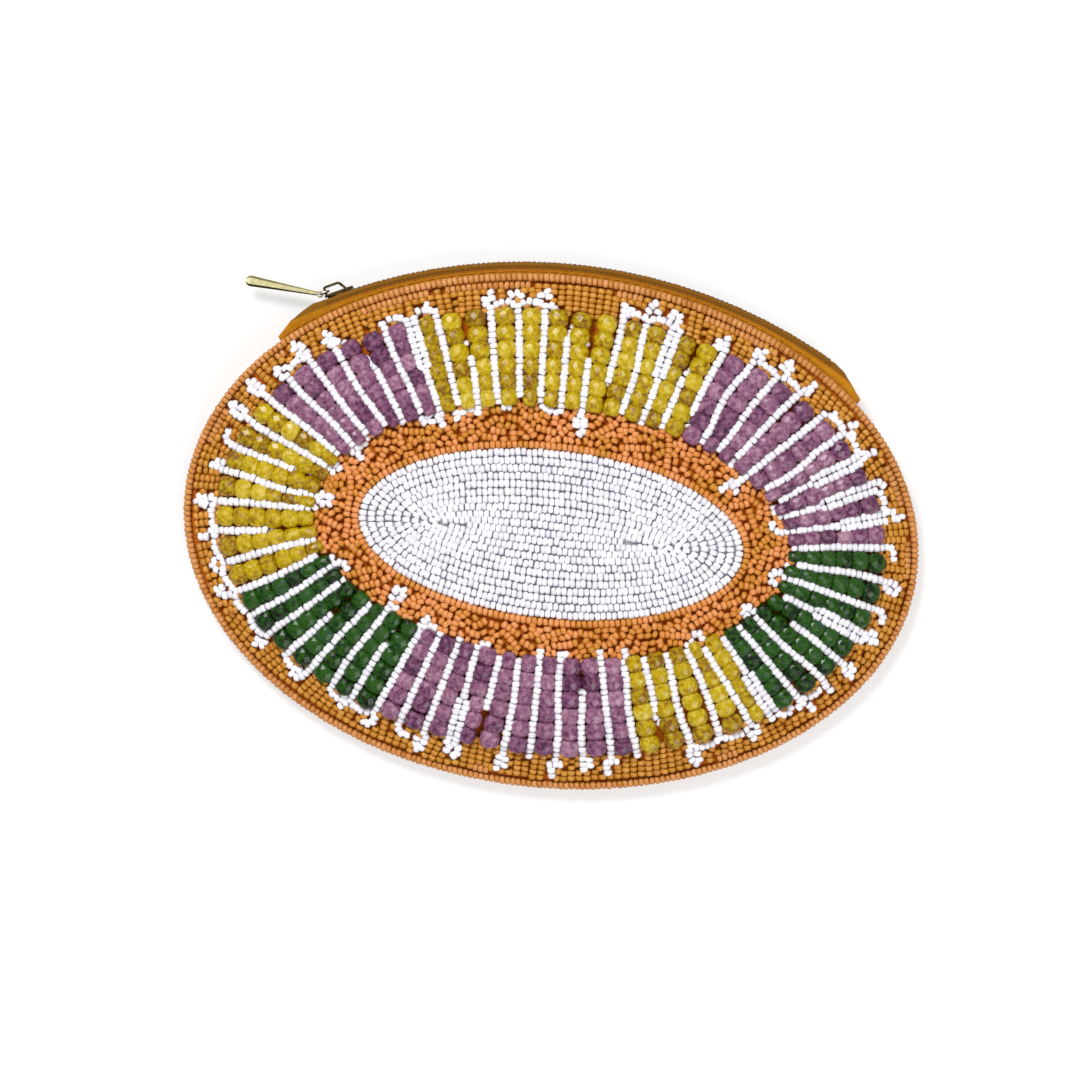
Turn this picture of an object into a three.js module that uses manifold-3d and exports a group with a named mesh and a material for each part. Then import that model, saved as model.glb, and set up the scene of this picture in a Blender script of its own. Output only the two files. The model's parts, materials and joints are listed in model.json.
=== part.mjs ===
// A flat oval zip pouch with a beaded face, lying on its plain back.
// Millimetres and degrees. +X runs along the oval, +Y points to the zip, +Z is the beaded side.
import * as THREE from "three";
import { mergeVertices } from "three/addons/utils/BufferGeometryUtils.js";
import Module from "manifold-3d";

// Cloth panels
const PANEL_LENGTH = 190;
const PANEL_HEIGHT = 131.5;
const BACK_CLOTH = 1.0;
const FRONT_CLOTH = 1.2;
const LINING_CLOTH = 0.5;
const LINING_MARGIN = 1.5; // lining edge inside the tucked edge of the zip tape
const CROWN_RISE = 1.8; // front cloth over the middle, above its edge at the zip
const CROWN_POWER = 2.6; // how late the front cloth rolls down to its edge
const GUSSET_MARGIN = 4; // degrees of outline past the zip where the front edge stays up
const GUSSET_FADE = 26; // degrees of outline in which the front edge comes down to the side seam
const GUSSET_REACH = 0.75; // share of that fade that the gusset closes
const GUSSET_INSET = 0.5; // gusset behind the outline
const GUSSET_GAP = 0.5;
const GUSSET_STEPS = 4;
const SEAM_GAP = 0.3; // between two pieces that are sewn or laid together
const LINING_GAP = 0.6; // lining hangs off the front cloth
const PANEL_SPOKES = 40;
const PANEL_ROWS = [0.3, 0.6, 0.84, 1];
const LINING_SPOKES = 24;
const LINING_ROWS = [0.4, 0.75, 1];

// Zip: a circular arc past the top edge of the panels
const ZIP_RADIUS = 138;
const ZIP_PROUD = 3; // chain beyond the panel edge at the middle of the arc
const ZIP_HALF_ANGLE = 34;
const CHAIN_HALF_ANGLE = 29.2; // past it the tapes are sewn shut and run in to the side seam
const ZIP_END_PROUD = 1.4; // tape beyond the panel edge at its two ends
const TAPE_CLOTH = 0.5;
const TAPE_TUCK = 6.5; // tape under the panel edge
const TAPE_SHOULDER = 0.7; // rounding where the tape turns down to the chain
const TAPE_STEPS = 14;
const TAPE_END_STEPS = 3;
const CHAIN_WIDTH = 4.2;
const CHAIN_THICKNESS = 0.9;
const COIL_PITCH = 3.4;
const COIL_REACH = 1.8; // depth of the meshing loops
const COIL_MESH_GAP = 0.5;

// Slider and pull
const SLIDER_ANGLE = -26.1; // place on the arc, from the middle of the zip
const SLIDER_LENGTH = 7.8;
const SLIDER_WIDTH = 5.8;
const SLIDER_PLATE = 0.5;
const SLIDER_NOSE = 1.4; // cut corners at the wide end
const SLIDER_TAIL = 0.7; // cut corners at the narrow end
const SLIDER_CLEARANCE = 0.25;
const FLANGE_WIDTH = 0.55;
const DIVIDER_WIDTH = 1.7;
const DIVIDER_FRONT = 0.85;
const DIVIDER_LENGTH = 2.2;
const DIVIDER_SETBACK = 0.7;
const BRIDGE_CLEAR = 1.8; // opening under the bridge
const BRIDGE_BAR = 0.6;
const BRIDGE_LEG = 0.7;
const BRIDGE_WIDTH = 1.4;
const BRIDGE_SETBACK = 0.25; // left leg back from the nose
const BRIDGE_TOP_END = 0.8;
const BRIDGE_RIGHT = 2.2;
const LINK_WIRE = 0.56;
const LINK_GAP = 0.25;
const LINK_SECTION = 6;
const LINK_STEPS = 12;
const EYE_WALL = 0.4;
const TAB_LENGTH = 19.5;
const TAB_WIDTH = 2.8;
const TAB_NECK = 1.1;
const TAB_THICKNESS = 1.0;
const TAB_ANGLE = 149.3; // tab direction, from the line of the chain at the slider

// Beadwork, as depths in from the outline of the face
const BEAD_GAP = 0.4; // beads over the cloth they are sewn to
const SEED_BEAD = 1.8;
const DIVIDER_STEPS = 2; // straight lengths that a white row is laid in over the dome
const CRYSTAL_BEAD = 3.7;
const CRYSTAL_COUNT = 6;
const CRYSTAL_WAIST = 0.55; // crest where two crystals meet, as a share of the bead
const ROW_END = 0.3; // crest at the ends of a row, as a share of the bead
const ROW_PITCH = 6.1;
const ROW_LEAN = 1.25; // how far the rows turn from radial to square with the outline
const EDGE_ROW_DEPTH = 0.1;
const OUTER_FIELD_WIDTH = 3.3;
const LOOP_STEP = 0.9; // loops round the crystals, in from the picots between them
const CRYSTAL_CLEARANCE = 0.5;
const CRYSTAL_ROW = 24.8; // length of a row of crystals
const INNER_CLEARANCE = 1.4;
const INNER_FIELD_ENDS = 9.9; // width of the field at the ends of the white oval
const INNER_FIELD_SIDES = 8.6; // width of the field above and below it
const INNER_FIELD_ROWS = 4;
const OVAL_DROP = 0.6; // oval's centre below the centre of the panel
const OVAL_ROWS = 10;
const OVAL_UNDER_ROWS = 4;
const OVAL_SPINE = 26; // half the line that the rows close on
const OVAL_SPOKES = 24;
const ROW_DIP = 0.45; // valley between two rows of beads, as a share of the bead
const THREAD = 0.6;
const FIELD_SPOKES = 60;
const ARC_SAMPLES = 72;

// Crystal groups by the angle where each begins, counterclockwise from +X
const CRYSTAL_GROUPS = [
  { name: "crystals_purple_right", from: 5, colour: 0x875082 },
  { name: "crystals_yellow_top", from: 62, colour: 0xb4a014 },
  { name: "crystals_purple_top_left", from: 120, colour: 0x875082 },
  { name: "crystals_yellow_left", from: 153, colour: 0xb4a014 },
  { name: "crystals_green_bottom_left", from: 203, colour: 0x235014 },
  { name: "crystals_purple_bottom", from: 241.5, colour: 0x875082 },
  { name: "crystals_yellow_bottom_right", from: 289.5, colour: 0xb4a014 },
  { name: "crystals_green_right", from: 317, colour: 0x235014 },
];

// Heights and places that follow from the sizes above
const HALF_LENGTH = PANEL_LENGTH / 2;
const HALF_HEIGHT = PANEL_HEIGHT / 2;
const TAPE_BACK_FLOOR = BACK_CLOTH + SEAM_GAP;
const CHAIN_LEVEL = TAPE_BACK_FLOOR + TAPE_CLOTH + SEAM_GAP + SLIDER_WIDTH / 2;
const TAPE_FRONT_TOP = 2 * CHAIN_LEVEL - TAPE_BACK_FLOOR;
const ZIP_EDGE_TOP = TAPE_FRONT_TOP + SEAM_GAP + FRONT_CLOTH;
const SEAM_EDGE_TOP = BACK_CLOTH + SEAM_GAP + FRONT_CLOTH;
const CROWN_TOP = ZIP_EDGE_TOP + CROWN_RISE;
const ZIP_CENTRE_Y = HALF_HEIGHT + ZIP_PROUD - ZIP_RADIUS;
const CHANNEL_HALF = CHAIN_THICKNESS / 2 + SLIDER_CLEARANCE;
const PLATE_TOP = CHANNEL_HALF + SLIDER_PLATE;
const BRIDGE_LEFT = BRIDGE_SETBACK + (BRIDGE_LEG - SLIDER_LENGTH) / 2;
const OUTER_FIELD_DEPTH = EDGE_ROW_DEPTH + SEED_BEAD + BEAD_GAP;
const PICOT_DEPTH = OUTER_FIELD_DEPTH + OUTER_FIELD_WIDTH + BEAD_GAP + SEED_BEAD / 2;
const LOOP_DEPTH = PICOT_DEPTH + LOOP_STEP;
const CRYSTAL_DEPTH = LOOP_DEPTH + SEED_BEAD / 2 + CRYSTAL_CLEARANCE;
const BAND_MIDDLE = CRYSTAL_DEPTH + CRYSTAL_ROW / 2;
const INNER_FIELD_DEPTH = CRYSTAL_DEPTH + CRYSTAL_ROW + INNER_CLEARANCE;
const LINING_INSET = TAPE_TUCK + LINING_MARGIN;
const OVAL_HALF_LENGTH = HALF_LENGTH - INNER_FIELD_DEPTH - INNER_FIELD_ENDS - SEAM_GAP;
const OVAL_HALF_HEIGHT = HALF_HEIGHT - INNER_FIELD_DEPTH - INNER_FIELD_SIDES - SEAM_GAP;
const TURN = 2 * Math.PI;
const rad = THREE.MathUtils.degToRad;

const wasm = await Module();
wasm.setup();
const pouch = new THREE.Group();

// Fabric, glass and metal finishes
const finish = (color, roughness, metalness = 0) =>
  new THREE.MeshStandardMaterial({ color, roughness, metalness });
const ochreCloth = finish(0xb97014, 0.9);
const rustCloth = finish(0x86400c, 0.95);
const liningCloth = finish(0xc08a3c, 0.7);
const coilNylon = finish(0x6e4a12, 0.5);
const paleBrass = finish(0xc8be82, 0.3, 1);
const peachBead = finish(0xeb9b5f, 0.35);
const amberBead = finish(0xcd822d, 0.35);
const whiteBead = finish(0xf5f2fa, 0.35);

function addPiece(name, geometry, material, holder = pouch) {
  const piece = new THREE.Mesh(geometry, material);
  piece.name = name;
  holder.add(piece);
}

// One closed skin from points and triangles, turned so that it encloses a positive volume.
function skin(points, faces) {
  const volume = faces.reduce(
    (sum, [a, b, c]) => sum + points[a].dot(points[b].clone().cross(points[c])),
    0,
  );
  const geometry = new THREE.BufferGeometry().setFromPoints(points);
  geometry.setIndex(faces.flatMap(([a, b, c]) => (volume > 0 ? [a, b, c] : [a, c, b])));
  return geometry;
}

// Rings of equal count skinned in order. A flat outline of the ring closes both ends;
// without it the loft runs round.
function loft(rings, outline) {
  const count = rings[0].length;
  const faces = [];
  const spans = outline ? rings.length - 1 : rings.length;
  for (let k = 0; k < spans; k++) {
    const near = k * count;
    const far = ((k + 1) % rings.length) * count;
    for (let i = 0; i < count; i++) {
      const next = (i + 1) % count;
      faces.push([near + i, near + next, far + next], [near + i, far + next, far + i]);
    }
  }
  if (outline) {
    const last = (rings.length - 1) * count;
    const turned = THREE.ShapeUtils.area(outline) < 0;
    for (const [a, b, c] of THREE.ShapeUtils.triangulateShape(outline, [])) {
      const [p, q] = turned ? [c, b] : [b, c];
      faces.push([a, q, p], [last + a, last + p, last + q]);
    }
  }
  return skin(rings.flat(), faces);
}

// A sheet between two stacks of rings that run from the middle outwards.
// The middle is closed, or left as a hole.
function sheet(topRings, underRings, holed) {
  const count = topRings[0].length;
  const points = [...topRings, ...underRings].flat();
  const faces = [];
  const quad = (a, b, c, d) => faces.push([a, b, c], [a, c, d]);
  const under = topRings.length * count;
  const topRim = under - count;
  const underRim = points.length - count;
  for (let j = 0; j < count; j++) {
    const next = (j + 1) % count;
    for (let i = 0; i < topRim; i += count) quad(i + j, i + count + j, i + count + next, i + next);
    for (let i = under; i < underRim; i += count) quad(i + next, i + count + next, i + count + j, i + j);
    quad(underRim + j, underRim + next, topRim + next, topRim + j);
    if (holed) quad(under + next, under + j, j, next);
  }
  if (!holed) {
    // The middle is closed by rungs between the two long sides of the innermost oval.
    for (let j = 0; j < count / 2; j++) {
      const [a, b, c, d] = [j, j + 1, count - j - 1, (count - j) % count];
      if (j > 0) faces.push([a, b, d], [under + a, under + d, under + b]);
      if (j < count / 2 - 1) faces.push([b, c, d], [under + b, under + d, under + c]);
    }
  }
  return skin(points, faces);
}

// A closed geometry as a solid that can be joined to others
function solid(geometry) {
  const bare = new THREE.BufferGeometry();
  bare.setAttribute("position", geometry.getAttribute("position"));
  bare.setIndex(geometry.index);
  const merged = mergeVertices(bare);
  const vertProperties = merged.getAttribute("position").array;
  const triVerts = new Uint32Array(merged.index.array);
  return new wasm.Manifold(new wasm.Mesh({ numProp: 3, vertProperties, triVerts }));
}

// One body out of solids that run into one another
function join(geometries) {
  const mesh = geometries.map(solid).reduce((all, one) => all.add(one)).getMesh();
  const geometry = new THREE.BufferGeometry();
  geometry.setAttribute("position", new THREE.BufferAttribute(mesh.vertProperties, 3));
  geometry.setIndex(new THREE.BufferAttribute(mesh.triVerts, 1));
  return geometry;
}

// A point by angle along the zip, distance from the arc's centre and height
function zipPoint(angle, radius, height) {
  const turn = rad(angle);
  return new THREE.Vector3(radius * Math.sin(turn), ZIP_CENTRE_Y + radius * Math.cos(turn), height);
}

// Distance from the arc's centre to the edge of the panels
function panelEdgeRadius(angle) {
  const sine = Math.sin(rad(angle));
  const cosine = Math.cos(rad(angle));
  const square = (sine / HALF_LENGTH) ** 2 + (cosine / HALF_HEIGHT) ** 2;
  const linear = (ZIP_CENTRE_Y * cosine) / HALF_HEIGHT ** 2;
  const constant = (ZIP_CENTRE_Y / HALF_HEIGHT) ** 2 - 1;
  return (-linear + Math.sqrt(linear ** 2 - square * constant)) / square;
}

// Distance from the arc's centre to the zip: an arc along the chain, then straight in to the side seam
function zipRadius(angle) {
  const past = Math.max(0, Math.abs(angle) - CHAIN_HALF_ANGLE) / (ZIP_HALF_ANGLE - CHAIN_HALF_ANGLE);
  return THREE.MathUtils.lerp(ZIP_RADIUS, panelEdgeRadius(ZIP_HALF_ANGLE) + ZIP_END_PROUD, past);
}

// Even steps from one value to another, both included
const spaced = (from, to, steps) =>
  Array.from({ length: steps + 1 }, (_, k) => from + ((to - from) * k) / steps);

// Height of the front cloth: a low dome whose edge stands up along the zip and comes down to the side seam.
const zipEnd = zipPoint(ZIP_HALF_ANGLE, panelEdgeRadius(ZIP_HALF_ANGLE), CHAIN_LEVEL);
const zipSpread = Math.atan2(zipEnd.x / HALF_LENGTH, zipEnd.y / HALF_HEIGHT);
const fadeFrom = zipSpread + rad(GUSSET_MARGIN);

function clothTop(x, y) {
  const across = Math.hypot(x / HALF_LENGTH, y / HALF_HEIGHT);
  const towardsZip = y / HALF_HEIGHT / Math.max(across, Number.EPSILON);
  const fromZip = Math.acos(THREE.MathUtils.clamp(towardsZip, -1, 1));
  const fade = THREE.MathUtils.smoothstep(fromZip, fadeFrom, fadeFrom + rad(GUSSET_FADE));
  const edge = THREE.MathUtils.lerp(ZIP_EDGE_TOP, SEAM_EDGE_TOP, fade);
  return edge + (CROWN_TOP - edge) * (1 - Math.min(across, 1) ** CROWN_POWER);
}

// A ring of points on an oval, at a height that may follow the cloth.
function ovalRing(halfLength, halfHeight, middleY, spokes, heightAt) {
  return Array.from({ length: spokes }, (_, j) => {
    const turn = (TURN * j) / spokes;
    const x = halfLength * Math.cos(turn);
    const y = middleY + halfHeight * Math.sin(turn);
    return new THREE.Vector3(x, y, heightAt(x, y, j));
  });
}

function panelRings(rows, inset, spokes, heightAt) {
  return rows.map((share) =>
    ovalRing(share * (HALF_LENGTH - inset), share * (HALF_HEIGHT - inset), 0, spokes, heightAt),
  );
}

// Back and front panels and the lining that is sewn inside each
const liningTop = FRONT_CLOTH + LINING_GAP;
addPiece(
  "back_panel",
  sheet(
    panelRings([1], 0, PANEL_SPOKES, () => BACK_CLOTH),
    panelRings([1], 0, PANEL_SPOKES, () => 0),
  ),
  ochreCloth,
);
addPiece(
  "front_panel",
  sheet(
    panelRings(PANEL_ROWS, 0, PANEL_SPOKES, clothTop),
    panelRings(PANEL_ROWS, 0, PANEL_SPOKES, (x, y) => clothTop(x, y) - FRONT_CLOTH),
  ),
  rustCloth,
);
addPiece(
  "back_lining",
  sheet(
    panelRings([1], LINING_INSET, LINING_SPOKES, () => BACK_CLOTH + SEAM_GAP + LINING_CLOTH),
    panelRings([1], LINING_INSET, LINING_SPOKES, () => BACK_CLOTH + SEAM_GAP),
  ),
  liningCloth,
);
addPiece(
  "front_lining",
  sheet(
    panelRings(LINING_ROWS, LINING_INSET, LINING_SPOKES, (x, y) => clothTop(x, y) - liningTop),
    panelRings(LINING_ROWS, LINING_INSET, LINING_SPOKES, (x, y) => clothTop(x, y) - liningTop - LINING_CLOTH),
  ),
  liningCloth,
);

// Each tape is tucked under its panel, comes out as a shoulder and turns in to the chain.
function zipTape(side) {
  const level = (drop) => CHAIN_LEVEL + side * (TAPE_FRONT_TOP - CHAIN_LEVEL - drop);
  const edge = CHAIN_LEVEL + side * (CHAIN_WIDTH / 2 + SEAM_GAP);
  const sectionAt = (angle) => {
    const tucked = panelEdgeRadius(angle) - TAPE_TUCK;
    const outside = zipRadius(angle) + TAPE_CLOTH / 2;
    const inside = zipRadius(angle) - TAPE_CLOTH / 2;
    return [
      [tucked, level(0)],
      [outside - TAPE_SHOULDER, level(0)],
      [outside, level(TAPE_SHOULDER)],
      [outside, edge],
      [inside, edge],
      [inside, level(TAPE_CLOTH)],
      [tucked, level(TAPE_CLOTH)],
    ];
  };
  const angles = [
    ...spaced(-ZIP_HALF_ANGLE, -CHAIN_HALF_ANGLE, TAPE_END_STEPS),
    ...spaced(-CHAIN_HALF_ANGLE, CHAIN_HALF_ANGLE, TAPE_STEPS).slice(1, -1),
    ...spaced(CHAIN_HALF_ANGLE, ZIP_HALF_ANGLE, TAPE_END_STEPS),
  ];
  const rings = angles.map((angle) => sectionAt(angle).map(([radius, z]) => zipPoint(angle, radius, z)));
  const outline = sectionAt(-ZIP_HALF_ANGLE).map(([radius, z]) => new THREE.Vector2(radius, z));
  return loft(rings, outline);
}
addPiece("zip_tape_front", zipTape(1), ochreCloth);
addPiece("zip_tape_back", zipTape(-1), ochreCloth);

// Each coil is a band along its tape edge with loops that mesh with the other coil's.
const degreesPer = (length) => THREE.MathUtils.radToDeg(length / ZIP_RADIUS);
const chainStart = SLIDER_ANGLE - degreesPer(SLIDER_LENGTH / 2 - DIVIDER_SETBACK - DIVIDER_LENGTH - SEAM_GAP);
const chainEnd = CHAIN_HALF_ANGLE - degreesPer(SEAM_GAP);

function zipCoil(side) {
  const pitches = Math.round((chainEnd - chainStart) / degreesPer(COIL_PITCH));
  const pitch = (chainEnd - chainStart) / pitches;
  const back = CHAIN_LEVEL + (side * CHAIN_WIDTH) / 2;
  const high = CHAIN_LEVEL + (COIL_REACH + side * COIL_MESH_GAP) / 2;
  const low = high - COIL_REACH;
  const flat = [];
  const triangles = [];
  for (let i = 0; i <= pitches; i++) {
    const angle = chainStart + i * pitch;
    flat.push([angle, back], [angle, high]);
    if (i < pitches) flat.push([angle + pitch / 2, low]);
  }
  for (let i = 0; i < pitches; i++) {
    const [root, valley, tip, nextRoot, nextValley] = [0, 1, 2, 3, 4].map((step) => 3 * i + step);
    const corner = side > 0 ? nextValley : tip;
    triangles.push([root, nextRoot, corner], [root, corner, valley]);
    triangles.push([side > 0 ? valley : nextRoot, nextValley, tip]);
  }
  return thicken(flat, triangles, (point, up) =>
    zipPoint(point[0], ZIP_RADIUS + ((up ? 1 : -1) * CHAIN_THICKNESS) / 2, point[1]),
  );
}

// A flat pattern of triangles given two faces, with walls on its open edges
function thicken(flat, triangles, place) {
  const points = [...flat.map((point) => place(point, true)), ...flat.map((point) => place(point, false))];
  const count = flat.length;
  const wound = triangles.map(([a, b, c]) => {
    const area = THREE.ShapeUtils.area([a, b, c].map((k) => new THREE.Vector2(...flat[k])));
    return area > 0 ? [a, b, c] : [a, c, b];
  });
  const edges = new Set(wound.flatMap(([a, b, c]) => [`${a},${b}`, `${b},${c}`, `${c},${a}`]));
  const faces = wound.flatMap(([a, b, c]) => [
    [a, b, c],
    [count + a, count + c, count + b],
  ]);
  for (const edge of edges) {
    const [a, b] = edge.split(",").map(Number);
    if (!edges.has(`${b},${a}`)) faces.push([b, a, count + a], [b, count + a, count + b]);
  }
  return skin(points, faces);
}
addPiece("zip_coil_front", zipCoil(1), coilNylon);
addPiece("zip_coil_back", zipCoil(-1), coilNylon);

// The tapes are tacked shut past each end of the chain.
function endTack(from, to) {
  const half = CHAIN_WIDTH / 2;
  const section = [
    [-TAPE_CLOTH / 2, -half],
    [TAPE_CLOTH / 2, -half],
    [TAPE_CLOTH / 2, half],
    [-TAPE_CLOTH / 2, half],
  ];
  const rings = spaced(from, to, TAPE_END_STEPS).map((angle) =>
    section.map(([out, up]) => zipPoint(angle, zipRadius(angle) + out, CHAIN_LEVEL + up)),
  );
  return loft(rings, section.map((point) => new THREE.Vector2(...point)));
}
const sliderReach = degreesPer(SLIDER_LENGTH / 2 + SEAM_GAP);
addPiece("zip_tack_left", endTack(-ZIP_HALF_ANGLE, SLIDER_ANGLE - sliderReach), ochreCloth);
addPiece("zip_tack_right", endTack(CHAIN_HALF_ANGLE, ZIP_HALF_ANGLE), ochreCloth);

// A strip of cloth closes the side from each end of the zip to where the front comes down to the back.
function gusset(side) {
  const from = zipSpread + GUSSET_GAP / HALF_HEIGHT;
  const to = fadeFrom + GUSSET_REACH * rad(GUSSET_FADE);
  const floor = BACK_CLOTH + SEAM_GAP;
  const sectionAt = (fromZip) => {
    const wall = [GUSSET_INSET, GUSSET_INSET + TAPE_CLOTH].map((inset) => [
      side * (HALF_LENGTH - inset) * Math.sin(fromZip),
      (HALF_HEIGHT - inset) * Math.cos(fromZip),
    ]);
    const top = ([x, y]) => clothTop(x, y) - FRONT_CLOTH - GUSSET_GAP;
    const [outer, inner] = wall;
    return [
      new THREE.Vector3(...outer, floor),
      new THREE.Vector3(...inner, floor),
      new THREE.Vector3(...inner, top(outer)),
      new THREE.Vector3(...outer, top(outer)),
    ];
  };
  const corners = [
    [0, 0],
    [1, 0],
    [1, 1],
    [0, 1],
  ];
  const outline = corners.map((corner) => new THREE.Vector2(...corner));
  return loft(spaced(from, to, GUSSET_STEPS).map(sectionAt), outline);
}
addPiece("gusset_left", gusset(-1), ochreCloth);
addPiece("gusset_right", gusset(1), ochreCloth);

// The slider's own frame: x along the chain, y out of the zip, z across the chain
const sliderFrame = new THREE.Group();
sliderFrame.position.copy(zipPoint(SLIDER_ANGLE, ZIP_RADIUS, CHAIN_LEVEL));
sliderFrame.rotation.z = -rad(SLIDER_ANGLE);
pouch.add(sliderFrame);

const shapeOf = (corners) => new THREE.Shape(corners.map((corner) => new THREE.Vector2(...corner)));
const extruded = (shape, depth, curveSegments) =>
  new THREE.ExtrudeGeometry(shape, { depth, bevelEnabled: false, curveSegments });

// Two plates with turned-in flanges, the divider that parts the coils and the bridge that carries the pull
function sliderBody() {
  const nose = -SLIDER_LENGTH / 2;
  const tail = SLIDER_LENGTH / 2;
  const half = SLIDER_WIDTH / 2;
  const plateShape = shapeOf([
    [nose, half - SLIDER_NOSE],
    [nose, SLIDER_NOSE - half],
    [nose + SLIDER_NOSE, -half],
    [tail - SLIDER_TAIL, -half],
    [tail, SLIDER_TAIL - half],
    [tail, half - SLIDER_TAIL],
    [tail - SLIDER_TAIL, half],
    [nose + SLIDER_NOSE, half],
  ]);
  const plate = (bottom) =>
    extruded(plateShape, SLIDER_PLATE)
      .rotateX(Math.PI / 2)
      .translate(0, bottom + SLIDER_PLATE, 0);
  const flangeDepth = CHANNEL_HALF - TAPE_CLOTH / 2 - SLIDER_CLEARANCE;
  const flangeLength = SLIDER_LENGTH - SLIDER_NOSE - SLIDER_TAIL;
  const flange = (out, across) =>
    new THREE.BoxGeometry(flangeLength, flangeDepth + SLIDER_PLATE / 2, FLANGE_WIDTH).translate(
      (SLIDER_NOSE - SLIDER_TAIL) / 2,
      out * (CHANNEL_HALF - flangeDepth / 2 + SLIDER_PLATE / 4),
      (across * (SLIDER_WIDTH - FLANGE_WIDTH)) / 2,
    );
  const dividerFrom = nose + DIVIDER_SETBACK;
  const divider = extruded(
    shapeOf([
      [dividerFrom, -DIVIDER_FRONT / 2],
      [dividerFrom + DIVIDER_LENGTH / 2, -DIVIDER_WIDTH / 2],
      [dividerFrom + DIVIDER_LENGTH, 0],
      [dividerFrom + DIVIDER_LENGTH / 2, DIVIDER_WIDTH / 2],
      [dividerFrom, DIVIDER_FRONT / 2],
    ]),
    2 * CHANNEL_HALF + SLIDER_PLATE,
  )
    .rotateX(Math.PI / 2)
    .translate(0, CHANNEL_HALF + SLIDER_PLATE / 2, 0);
  const foot = PLATE_TOP - SLIDER_PLATE / 2;
  const barUnder = PLATE_TOP + BRIDGE_CLEAR;
  const barTop = barUnder + BRIDGE_BAR;
  const legHalf = BRIDGE_LEG / 2;
  const bridge = extruded(
    shapeOf([
      [BRIDGE_LEFT - legHalf, foot],
      [BRIDGE_LEFT + legHalf, foot],
      [BRIDGE_LEFT + legHalf, barUnder],
      [BRIDGE_TOP_END - legHalf, barUnder],
      [BRIDGE_RIGHT - legHalf, foot],
      [BRIDGE_RIGHT + legHalf, foot],
      [BRIDGE_TOP_END + legHalf, barTop - legHalf],
      [BRIDGE_TOP_END - legHalf, barTop],
      [BRIDGE_LEFT + legHalf, barTop],
      [BRIDGE_LEFT - legHalf, barTop - legHalf],
    ]),
    BRIDGE_WIDTH,
  ).translate(0, 0, -BRIDGE_WIDTH / 2);
  const flanges = [-1, 1].flatMap((out) => [-1, 1].map((across) => flange(out, across)));
  return join([plate(CHANNEL_HALF), plate(-PLATE_TOP), divider, bridge, ...flanges]);
}
addPiece("slider_body", sliderBody(), paleBrass, sliderFrame);

// A wire link round the bridge's left leg; the tab's eye hangs on its far end.
const linkLevel = PLATE_TOP + BRIDGE_CLEAR / 2;
const linkInner = BRIDGE_LEFT + BRIDGE_LEG / 2 + LINK_GAP + LINK_WIRE / 2;
const linkOuter = BRIDGE_LEFT - BRIDGE_LEG / 2 - 2 * LINK_GAP - EYE_WALL - LINK_WIRE / 2;
const linkHalfWidth = BRIDGE_WIDTH / 2 + LINK_GAP + LINK_WIRE / 2;

function pullLink() {
  const middle = (linkInner + linkOuter) / 2;
  const reach = (linkInner - linkOuter) / 2;
  const corner = (angle, half) => Math.sign(Math.cos(angle)) * half * Math.sqrt(Math.abs(Math.cos(angle)));
  const rings = Array.from({ length: LINK_STEPS }, (_, k) => {
    const angle = (TURN * k) / LINK_STEPS;
    const centre = new THREE.Vector3(
      middle + corner(angle, reach),
      linkLevel,
      corner(angle - Math.PI / 2, linkHalfWidth),
    );
    const out = new THREE.Vector3(Math.cos(angle), 0, Math.sin(angle));
    return Array.from({ length: LINK_SECTION }, (_, i) => {
      const turn = (TURN * i) / LINK_SECTION;
      const aside = out.clone().multiplyScalar((Math.cos(turn) * LINK_WIRE) / 2);
      return centre.clone().add(aside).setY(linkLevel + (Math.sin(turn) * LINK_WIRE) / 2);
    });
  });
  return loft(rings);
}
addPiece("pull_ring", pullLink(), paleBrass, sliderFrame);

// A slim paddle that widens from a round eye to its free end
function pullTab() {
  const eye = LINK_WIRE / 2 + LINK_GAP;
  const eyeOutside = eye + EYE_WALL;
  const neckStart = Math.sqrt(eyeOutside ** 2 - (TAB_NECK / 2) ** 2);
  const neckTurn = Math.atan2(TAB_NECK / 2, neckStart);
  const round = TAB_WIDTH / 2;
  const outline = new THREE.Shape();
  outline.absarc(0, 0, eyeOutside, neckTurn, TURN - neckTurn, false);
  outline.lineTo(2 * eyeOutside, -TAB_NECK / 2);
  outline.lineTo(TAB_LENGTH - round, -round);
  outline.absarc(TAB_LENGTH - round, 0, round, -Math.PI / 2, Math.PI / 2, false);
  outline.lineTo(2 * eyeOutside, TAB_NECK / 2);
  const hole = new THREE.Path();
  hole.absarc(0, 0, eye, 0, TURN, true);
  outline.holes.push(hole);
  return extruded(outline, TAB_THICKNESS, LINK_STEPS / 2).translate(0, 0, -TAB_THICKNESS / 2);
}
const tabFrame = new THREE.Group();
tabFrame.position.set(linkOuter, linkLevel, 0);
tabFrame.rotation.z = rad(TAB_ANGLE);
sliderFrame.add(tabFrame);
addPiece("pull_tab", pullTab(), paleBrass, tabFrame);

// A point on the face by depth and turn: rows lean from radial towards square with the outline.
function facePoint(depth, turn, lift) {
  const lean = Math.atan2(ROW_LEAN * Math.sin(turn), Math.cos(turn));
  const out = BAND_MIDDLE - depth;
  const x = (HALF_LENGTH - BAND_MIDDLE) * Math.cos(turn) + out * Math.cos(lean);
  const y = (HALF_HEIGHT - BAND_MIDDLE) * Math.sin(turn) + out * Math.sin(lean);
  return new THREE.Vector3(x, y, clothTop(x, y) + BEAD_GAP + lift);
}

// Length of the band's middle line per turn, and the turns that part it evenly
const bandSpeed = (turn) =>
  Math.hypot((HALF_LENGTH - BAND_MIDDLE) * Math.sin(turn), (HALF_HEIGHT - BAND_MIDDLE) * Math.cos(turn));

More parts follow.
